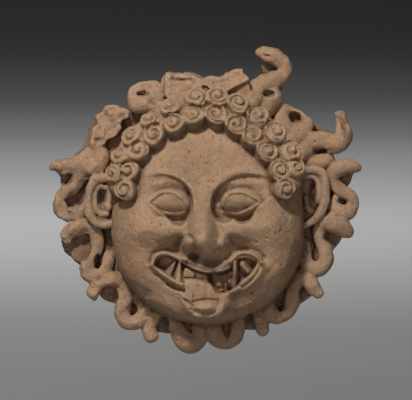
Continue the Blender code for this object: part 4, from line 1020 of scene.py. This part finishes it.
def lumps(block, spacing, dice):
    """Smooth random lumps over the block, with a spread of 1 and this far apart in millimetres."""
    weights = [spline_weights(axis, spacing) for axis in block.axes]
    knots = dice.standard_normal([w.shape[1] for w in weights]).astype(np.float32)
    for w in weights:
        knots = np.tensordot(knots, w, axes=(0, 1))
    return knots / knots.std()


def brokenness(x, z):
    """How broken the surface is at each place of the front, from 0 to 1."""
    most = np.zeros(np.broadcast(x, z).shape, np.float32)
    for outline, strength in BROKEN_PLACES:
        inside = inside_distance(x, z, outline)
        most = np.maximum(most, strength * step(inside + BREAK_EDGE / 2, BREAK_EDGE))
    return most


def weather(block):
    """Uneven modelling, grain, and the rough faces of breaks."""
    dice = np.random.default_rng(DICE_SEED)
    broken = brokenness(block.axes[0][:, None], block.axes[1][None, :])[:, :, None]
    change = np.zeros(block.field.shape, np.float32)
    for spacing, amount, extra in LUMPS:
        change += lumps(block, spacing, dice) * (amount + extra * broken)
    block.field += change * (1 - step(np.abs(block.field), LUMPS_DEPTH)).astype(np.float32)


def front_depth(block, x, z):
    """The depth of the frontmost clay at a place."""
    i = int(round((x - LOW[0]) / CELL))
    j = int(round((z - LOW[1]) / CELL))
    full = np.nonzero(block.field[i, j] < 0)[0]
    return block.axes[2][full[-1]] if len(full) else None


def add_pit(block, x, z, depth, radius):
    def shape(px, pz, pd):
        return np.sqrt((px - x) ** 2 + (pz - z) ** 2 + (pd - depth) ** 2) - radius
    block.cut(*around((x, z, depth), MARGIN), shape, PIT_BLEND)


def pit(block):
    """Pores and small losses scattered over the front."""
    dice = np.random.default_rng(DICE_SEED + 1)
    for _ in range(PITS):
        x, z = dice.uniform(*PIT_X), dice.uniform(*PIT_Z)
        radius = PIT_RADIUS + PIT_SPREAD * dice.exponential()
        depth = front_depth(block, x, z)
        if depth is not None and depth > PIT_LEAST_DEPTH:
            add_pit(block, x, z, depth + PIT_OUT * radius, min(radius, PIT_LARGEST))


def crowding(block):
    """How full of clay the neighbourhood of each cell is: a half on a flat face, more in a recess."""
    full = (block.field < 0).astype(np.float32)
    reach = int(round(CROWDING_REACH / CELL))
    for axis, count in enumerate(full.shape):
        total = np.cumsum(full, axis=axis, dtype=np.float32)
        ahead = np.take(total, np.minimum(np.arange(count) + reach, count - 1), axis=axis)
        behind = np.take(total, np.maximum(np.arange(count) - reach - 1, 0), axis=axis)
        full = (ahead - behind) / (2 * reach + 1)
    return full


def model_clay():
    """The whole antefix as a block, cut off flat behind."""
    block = Block()
    block.add(LOW, HIGH, head_shape, HEAD_BLEND)
    turns = np.linspace(0, 2 * math.pi, RIM_CORNERS, endpoint=False)
    rim = np.stack([RIM_CENTRE[0] + RIM_HALF_AXES[0] * np.cos(turns),
                    RIM_CENTRE[1] + RIM_HALF_AXES[1] * np.sin(turns)], axis=1)
    add_slab(block, rim, PLATE)
    for outline in WEBS:
        add_slab(block, outline, WEB_TOP)
    for places in SNAKES + ROOTS:
        add_roll(block, places)
    add_breaks(block)
    for hollow in HOLLOWS:
        cut_hollow(block, *hollow)
    add_hair(block)
    add_ears(block)
    weather(block)
    pit(block)
    block.field = np.maximum(block.field, -block.axes[2])
    return block


def skin(block):
    """The places and quads of the skin where the field crosses nought.

    Each crossed cell has one corner of the mesh, and each crossed edge between cells has a quad.
    """
    field = block.field
    inside = field < 0
    corners = [(i, j, k) for i in (0, 1) for j in (0, 1) for k in (0, 1)]
    cells = tuple(n - 1 for n in field.shape)

    def shifted(array, offset):
        return array[tuple(slice(o, o + n) for o, n in zip(offset, cells))]

    total = sum(shifted(inside, offset).astype(np.int8) for offset in corners)
    crossed = (total > 0) & (total < 8)
    where = np.argwhere(crossed)
    number = np.full(cells, -1, np.int32)
    number[crossed] = np.arange(len(where), dtype=np.int32)
    values = np.stack([field[tuple((where + offset).T)] for offset in corners], axis=1)
    sums = np.zeros((len(where), 3))
    counts = np.zeros(len(where))
    for a, first in enumerate(corners):
        for b, second in enumerate(corners):
            if b > a and sum(abs(p - q) for p, q in zip(first, second)) == 1:
                start, end = values[:, a], values[:, b]
                cut = (start < 0) != (end < 0)
                share = np.where(cut, start / np.where(cut, start - end, 1), 0)
                point = np.array(first) + share[:, None] * (np.array(second) - np.array(first))
                sums += np.where(cut[:, None], point, 0)
                counts += cut
    places = (where + sums / counts[:, None]) * CELL + np.array(LOW)
    faces = []
    for axis in range(3):
        other, last = (axis + 1) % 3, (axis + 2) % 3
        near = [slice(1, -1)] * 3
        near[axis] = slice(0, -1)
        far = list(near)
        far[axis] = slice(1, None)
        change = inside[tuple(near)] != inside[tuple(far)]
        edges = np.argwhere(change)
        edges[:, (other, last)] += 1
        sides = []
        for aside, along in ((-1, -1), (0, -1), (0, 0), (-1, 0)):
            cell = edges.copy()
            cell[:, other] += aside
            cell[:, last] += along
            sides.append(number[tuple(cell.T)])
        quads = np.stack(sides, axis=1)
        outwards = inside[tuple(edges.T)]
        quads[~outwards] = quads[~outwards][:, ::-1]
        faces.append(quads)
    return places, np.concatenate(faces)


def mesh_from(name, places, quads):
    """A smooth mesh in the frame's metres."""
    mesh = bpy.data.meshes.new(name)
    mesh.vertices.add(len(places))
    points = np.stack([places[:, 0], -places[:, 2], places[:, 1]], axis=1) * MM
    mesh.vertices.foreach_set("co", points.astype(np.float32).ravel())
    mesh.loops.add(4 * len(quads))
    mesh.loops.foreach_set("vertex_index", quads.astype(np.int32).ravel())
    mesh.polygons.add(len(quads))
    mesh.polygons.foreach_set("loop_start", np.arange(0, 4 * len(quads), 4, dtype=np.int32))
    mesh.polygons.foreach_set("use_smooth", np.ones(len(quads), bool))
    mesh.update(calc_edges=True)
    mesh.validate()
    return mesh


def sample(values, block, places):
    """A value of the block at each place, taken between its cells."""
    steps = [np.clip((places[:, k] - LOW[k]) / CELL, 0, len(block.axes[k]) - 1.001) for k in range(3)]
    whole = [along.astype(int) for along in steps]
    part = [along - base for along, base in zip(steps, whole)]
    result = np.zeros(len(places))
    for i in (0, 1):
        for j in (0, 1):
            for k in (0, 1):
                share = ((part[0] if i else 1 - part[0]) * (part[1] if j else 1 - part[1])
                         * (part[2] if k else 1 - part[2]))
                result += share * values[whole[0] + i, whole[1] + j, whole[2] + k]
    return result


def spots(x, z, table):
    """Soft oval spots added up, from 0 to 1."""
    total = np.zeros(len(x))
    for middle, half_axes, strength in table:
        total += swell(x, z, middle, half_axes, strength, 1)
    return np.clip(total, 0, 1)


def paint(mesh, block):
    """Point attributes that the clay's material reads: recess, which gives painted shade in hollows and
    paler wear on edges, fracture, deposit, grime lines with painted shade, and warmth.
    """
    count = len(mesh.vertices)
    points = np.empty(3 * count, np.float32)
    mesh.vertices.foreach_get("co", points)
    points = points.reshape(-1, 3) / MM
    places = np.stack([points[:, 0], points[:, 2], -points[:, 1]], axis=1)
    x, z = places[:, 0], places[:, 1]
    crowded = sample(crowding(block), block, places)
    # recess sets painted shade in hollows; the grime lines carry painted shade as well as grime
    values_of = {
        "recess": np.clip((crowded - FLAT_CROWDING) * RECESS_GAIN, -1, 1),
        "fracture": brokenness(x, z),
        "deposit": spots(x, z, DEPOSITS),
        "grime_and_shade": np.max([ridge(x, z, *furrow) for furrow in SHADE_AND_GRIME], axis=0),
        "warmth": spots(x, z, WARM_PLACES),
    }
    for name, values in values_of.items():
        layer = mesh.attributes.new(name, "FLOAT", "POINT")
        layer.data.foreach_set("value", values.astype(np.float32))


def islands(body):
    """The corners of each separate skin in the mesh, the smallest skin first."""
    unseen = set(body.verts)
    found = []
    while unseen:
        front = [unseen.pop()]
        island = list(front)
        while front:
            corner = front.pop()
            for edge in corner.link_edges:
                other = edge.other_vert(corner)
                if other in unseen:
                    unseen.remove(other)
                    front.append(other)
                    island.append(other)
        found.append(island)
    return sorted(found, key=len)


def drop_crumbs(mesh):
    """Deletes what isn't joined to the main skin: loose crumbs, and pores closed inside the clay."""
    body = bmesh.new()
    body.from_mesh(mesh)
    crumbs = [corner for island in islands(body)[:-1] for corner in island]
    bmesh.ops.delete(body, geom=crumbs, context="VERTS")
    body.to_mesh(mesh)
    body.free()


def make_antefix():
    """The finished piece: the block's skin, thinned to what it needs, cleaned and painted."""
    block = model_clay()
    places, quads = skin(block)
    places[:, 2] = np.where(places[:, 2] < 0.5 * CELL, 0, places[:, 2])
    mesh = mesh_from("antefix_fired", places, quads)
    piece = add_object("antefix_fired", mesh)
    thin = piece.modifiers.new("thin", "DECIMATE")
    thin.ratio = TRIANGLES / (2 * len(quads))
    bpy.context.view_layer.update()
    kept = bpy.data.meshes.new_from_object(piece.evaluated_get(bpy.context.evaluated_depsgraph_get()))
    piece.modifiers.clear()
    piece.data = kept
    bpy.data.meshes.remove(mesh)
    kept.name = "antefix_fired"
    drop_crumbs(kept)
    paint(kept, block)
    return piece


class Nodes:
    """A material's nodes, made and linked by short calls."""

    def __init__(self, name):
        self.material = bpy.data.materials.new(name)
        self.material.use_nodes = True
        self.tree = self.material.node_tree
        self.shader = self.tree.nodes["Principled BSDF"]
        self.place = self.new("ShaderNodeTexCoord").outputs["Object"]

    def new(self, kind):
        return self.tree.nodes.new(kind)

    def link(self, value, socket):
        if isinstance(value, bpy.types.NodeSocket):
            self.tree.links.new(value, socket)
        else:
            socket.default_value = value

    def link_all(self, node, **values):
        """Links or sets inputs by name, an underscore standing for a space."""
        for name, value in values.items():
            self.link(value, node.inputs[name.replace("_", " ")])

    def along(self, axis):
        """The place along the object's X, Y or Z axis, in metres."""
        node = self.new("ShaderNodeSeparateXYZ")
        self.link(self.place, node.inputs[0])
        return node.outputs[axis]

    def attribute(self, name):
        node = self.new("ShaderNodeAttribute")
        node.attribute_name = name
        return node.outputs["Fac"]

    def noise(self, scale, detail=2.0, roughness=0.5):
        """Cloudy noise about a half, with so many clouds to a metre."""
        node = self.new("ShaderNodeTexNoise")
        self.link_all(node, Vector=self.place, Scale=scale, Detail=detail, Roughness=roughness)
        return node.outputs["Fac"]

    def ramp(self, value, start, end, low=0.0, high=1.0, kind="SMOOTHSTEP"):
        """The value's rise from start to end, turned into one from low to high."""
        node = self.new("ShaderNodeMapRange")
        node.interpolation_type = kind
        self.link_all(node, Value=value, From_Min=start, From_Max=end, To_Min=low, To_Max=high)
        return node.outputs["Result"]

    def times(self, a, b):
        node = self.new("ShaderNodeMath")
        node.operation = "MULTIPLY"
        self.link(a, node.inputs[0])
        self.link(b, node.inputs[1])
        return node.outputs["Value"]

    def mix(self, share, a, b):
        node = self.new("ShaderNodeMix")
        node.data_type = "RGBA"
        self.link_all(node, Factor=share, A=a, B=b)
        return node.outputs["Result"]

    def bump(self, height, strength, distance, normal=None):
        node = self.new("ShaderNodeBump")
        self.link_all(node, Height=height, Strength=strength, Distance=distance)
        if normal is not None:
            self.link(normal, node.inputs["Normal"])
        return node.outputs["Normal"]


def clay_material():
    """Worn fired clay: cloudy tan and brown, pink on breaks, yellowish deposits, grog and pores, with
    painted shade in recesses, along furrows and on the deep webs.
    """
    nodes = Nodes("fired_clay_worn")
    y = nodes.along("Y")
    recess = nodes.attribute("recess")
    clouds = nodes.ramp(nodes.noise(28, 4, 0.6), 0.32, 0.68)
    flush = nodes.ramp(nodes.noise(75, 3, 0.6), 0.35, 0.6, 0.3, 1.0)
    crust = nodes.ramp(nodes.noise(160, 4, 0.7), 0.35, 0.6)
    patchy = nodes.ramp(nodes.noise(120, 3, 0.6), 0.3, 0.6, 0.55, 1.0)
    specks = nodes.noise(260, 4, 0.8)
    grain = nodes.noise(620, 4, 0.8)
    pores = nodes.ramp(nodes.noise(430, 2, 0.6), 0.36, 0.28)
    pores = nodes.times(pores, nodes.ramp(nodes.noise(60), 0.45, 0.58))
    # Layers of colour, each laid over those before it: its share and its tint
    layers = [
        (nodes.ramp(nodes.noise(90, 3, 0.6), 0.45, 0.75, 0, 0.5), CLAY_RED),
        (nodes.ramp(y, -0.034, -0.014, 0, 0.5), CLAY_BROWN),
        (nodes.ramp(nodes.noise(14, 3, 0.5), 0.5, 0.7, 0, 0.45), CLAY_BROKEN),
        (nodes.times(nodes.attribute("fracture"), 0.7), CLAY_BROKEN),
        (nodes.times(flush, nodes.attribute("warmth")), CLAY_ORANGE),
        (nodes.times(crust, nodes.attribute("deposit")), CLAY_YELLOW),
        # Painted shade: crowded places, in recesses and creases, are darkened
        (nodes.ramp(recess, 0.05, 0.8, 0, 0.6), CLAY_DARK_AND_SHADE),
        (nodes.ramp(recess, -0.15, -0.7, 0, 0.3), CLAY_PALE),
        # Painted shade, with some grime, along the listed furrows, broken up by patchy noise
        (nodes.times(nodes.attribute("grime_and_shade"), patchy), CLAY_DARK_AND_SHADE),
        # Painted shade on the plate and webs far back between the loops, darker the further back
        (nodes.ramp(y, -0.013, -0.009, 0, 0.6), CLAY_DARK_AND_SHADE),
        (nodes.ramp(specks, 0.44, 0.3, 0, 0.5), CLAY_DARK_AND_SHADE),
        (nodes.ramp(specks, 0.56, 0.7, 0, 0.5), CLAY_PALE),
        (nodes.ramp(grain, 0.46, 0.3, 0, 0.7), CLAY_DARK_AND_SHADE),
        (nodes.ramp(grain, 0.54, 0.7, 0, 0.7), CLAY_PALE),
        (nodes.times(pores, 0.85), CLAY_DARK_AND_SHADE),
    ]
    colour = nodes.mix(clouds, CLAY_BROWN, CLAY_TAN)
    for share, tint in layers:
        colour = nodes.mix(share, colour, tint)
    normal = nodes.bump(nodes.noise(260, 5, 0.75), 0.7, 0.0020)
    normal = nodes.bump(nodes.times(pores, -1.0), 0.6, 0.0008, normal)
    normal = nodes.bump(grain, 0.6, 0.0010, normal)
    nodes.link_all(nodes.shader, Base_Color=colour, Roughness=nodes.ramp(clouds, 0, 1, 0.93, 0.8),
                   Specular_IOR_Level=0.3, Normal=normal)
    return nodes.material


def add_object(name, data):
    thing = bpy.data.objects.new(name, data)
    bpy.context.scene.collection.objects.link(thing)
    return thing


def look_at(thing, place, target):
    thing.location = place
    thing.rotation_euler = (Vector(target) - Vector(place)).to_track_quat("-Z", "Y").to_euler()


def add_light(name, place, target, size, power, colour):
    data = bpy.data.lights.new(name, "AREA")
    data.size = size
    data.energy = power
    data.color = colour
    look_at(add_object(name, data), place, target)


def add_camera():
    """The camera straight before the origin, which is the middle of the photograph."""
    data = bpy.data.cameras.new("camera")
    data.sensor_fit = "HORIZONTAL"
    data.sensor_width = SENSOR
    data.lens = SENSOR * CAMERA_DISTANCE / (IMAGE_WIDTH * MM_PER_PIXEL * MM)
    data.clip_end = 50
    camera = add_object("camera", data)
    look_at(camera, (0, -MID_DEPTH - CAMERA_DISTANCE, 0), (0, 0, 0))
    bpy.context.scene.camera = camera


def paper_material():
    """Paper graduated to dark grey up the wall, its grey painted to stand for the light's falloff."""
    nodes = Nodes("paper_painted_falloff")
    low, high = PAPER_PAINTED_LIGHT[0][0], PAPER_PAINTED_LIGHT[-1][0]
    ramp = nodes.new("ShaderNodeValToRGB")
    ramp.color_ramp.interpolation = "CARDINAL"
    nodes.link(nodes.ramp(nodes.along("Z"), low, high, kind="LINEAR"), ramp.inputs["Fac"])
    stops = ramp.color_ramp.elements
    while len(stops) < len(PAPER_PAINTED_LIGHT):
        stops.new(0.5)
    for stop, (height, shade) in zip(stops, PAPER_PAINTED_LIGHT):
        stop.position = (height - low) / (high - low)
        stop.color = (shade, shade, shade, 1)
    nodes.link_all(nodes.shader, Base_Color=ramp.outputs["Color"], Roughness=0.95, Specular_IOR_Level=0.1)
    return nodes.material


def add_floor():
    """A pale floor that sweeps up into the backdrop."""
    turns = np.linspace(0, math.pi / 2, SWEEP_CORNERS)
    profile = [(-WALL_DISTANCE, FLOOR_HEIGHT)]
    profile += [(WALL_DISTANCE + SWEEP * math.sin(turn), FLOOR_HEIGHT + SWEEP * (1 - math.cos(turn)))
                for turn in turns]
    profile += [(WALL_DISTANCE + SWEEP, WALL_TOP)]
    places = [(side * FLOOR_HALF_WIDTH, y, z) for y, z in profile for side in (-1, 1)]
    quads = [(2 * k, 2 * k + 1, 2 * k + 3, 2 * k + 2) for k in range(len(profile) - 1)]
    mesh = bpy.data.meshes.new("floor")
    mesh.from_pydata(places, [], quads)
    mesh.shade_smooth()
    mesh.materials.append(paper_material())
    floor = add_object("floor", mesh)


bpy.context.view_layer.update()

antefix = make_antefix()
antefix.data.materials.clear()
antefix.data.materials.append(clay_material())
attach(antefix, "root")
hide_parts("antefix")

add_floor()
for name, light in LIGHTS.items():
    add_light(name, *light)
add_camera()
bpy.context.scene.view_settings.view_transform = "Standard"
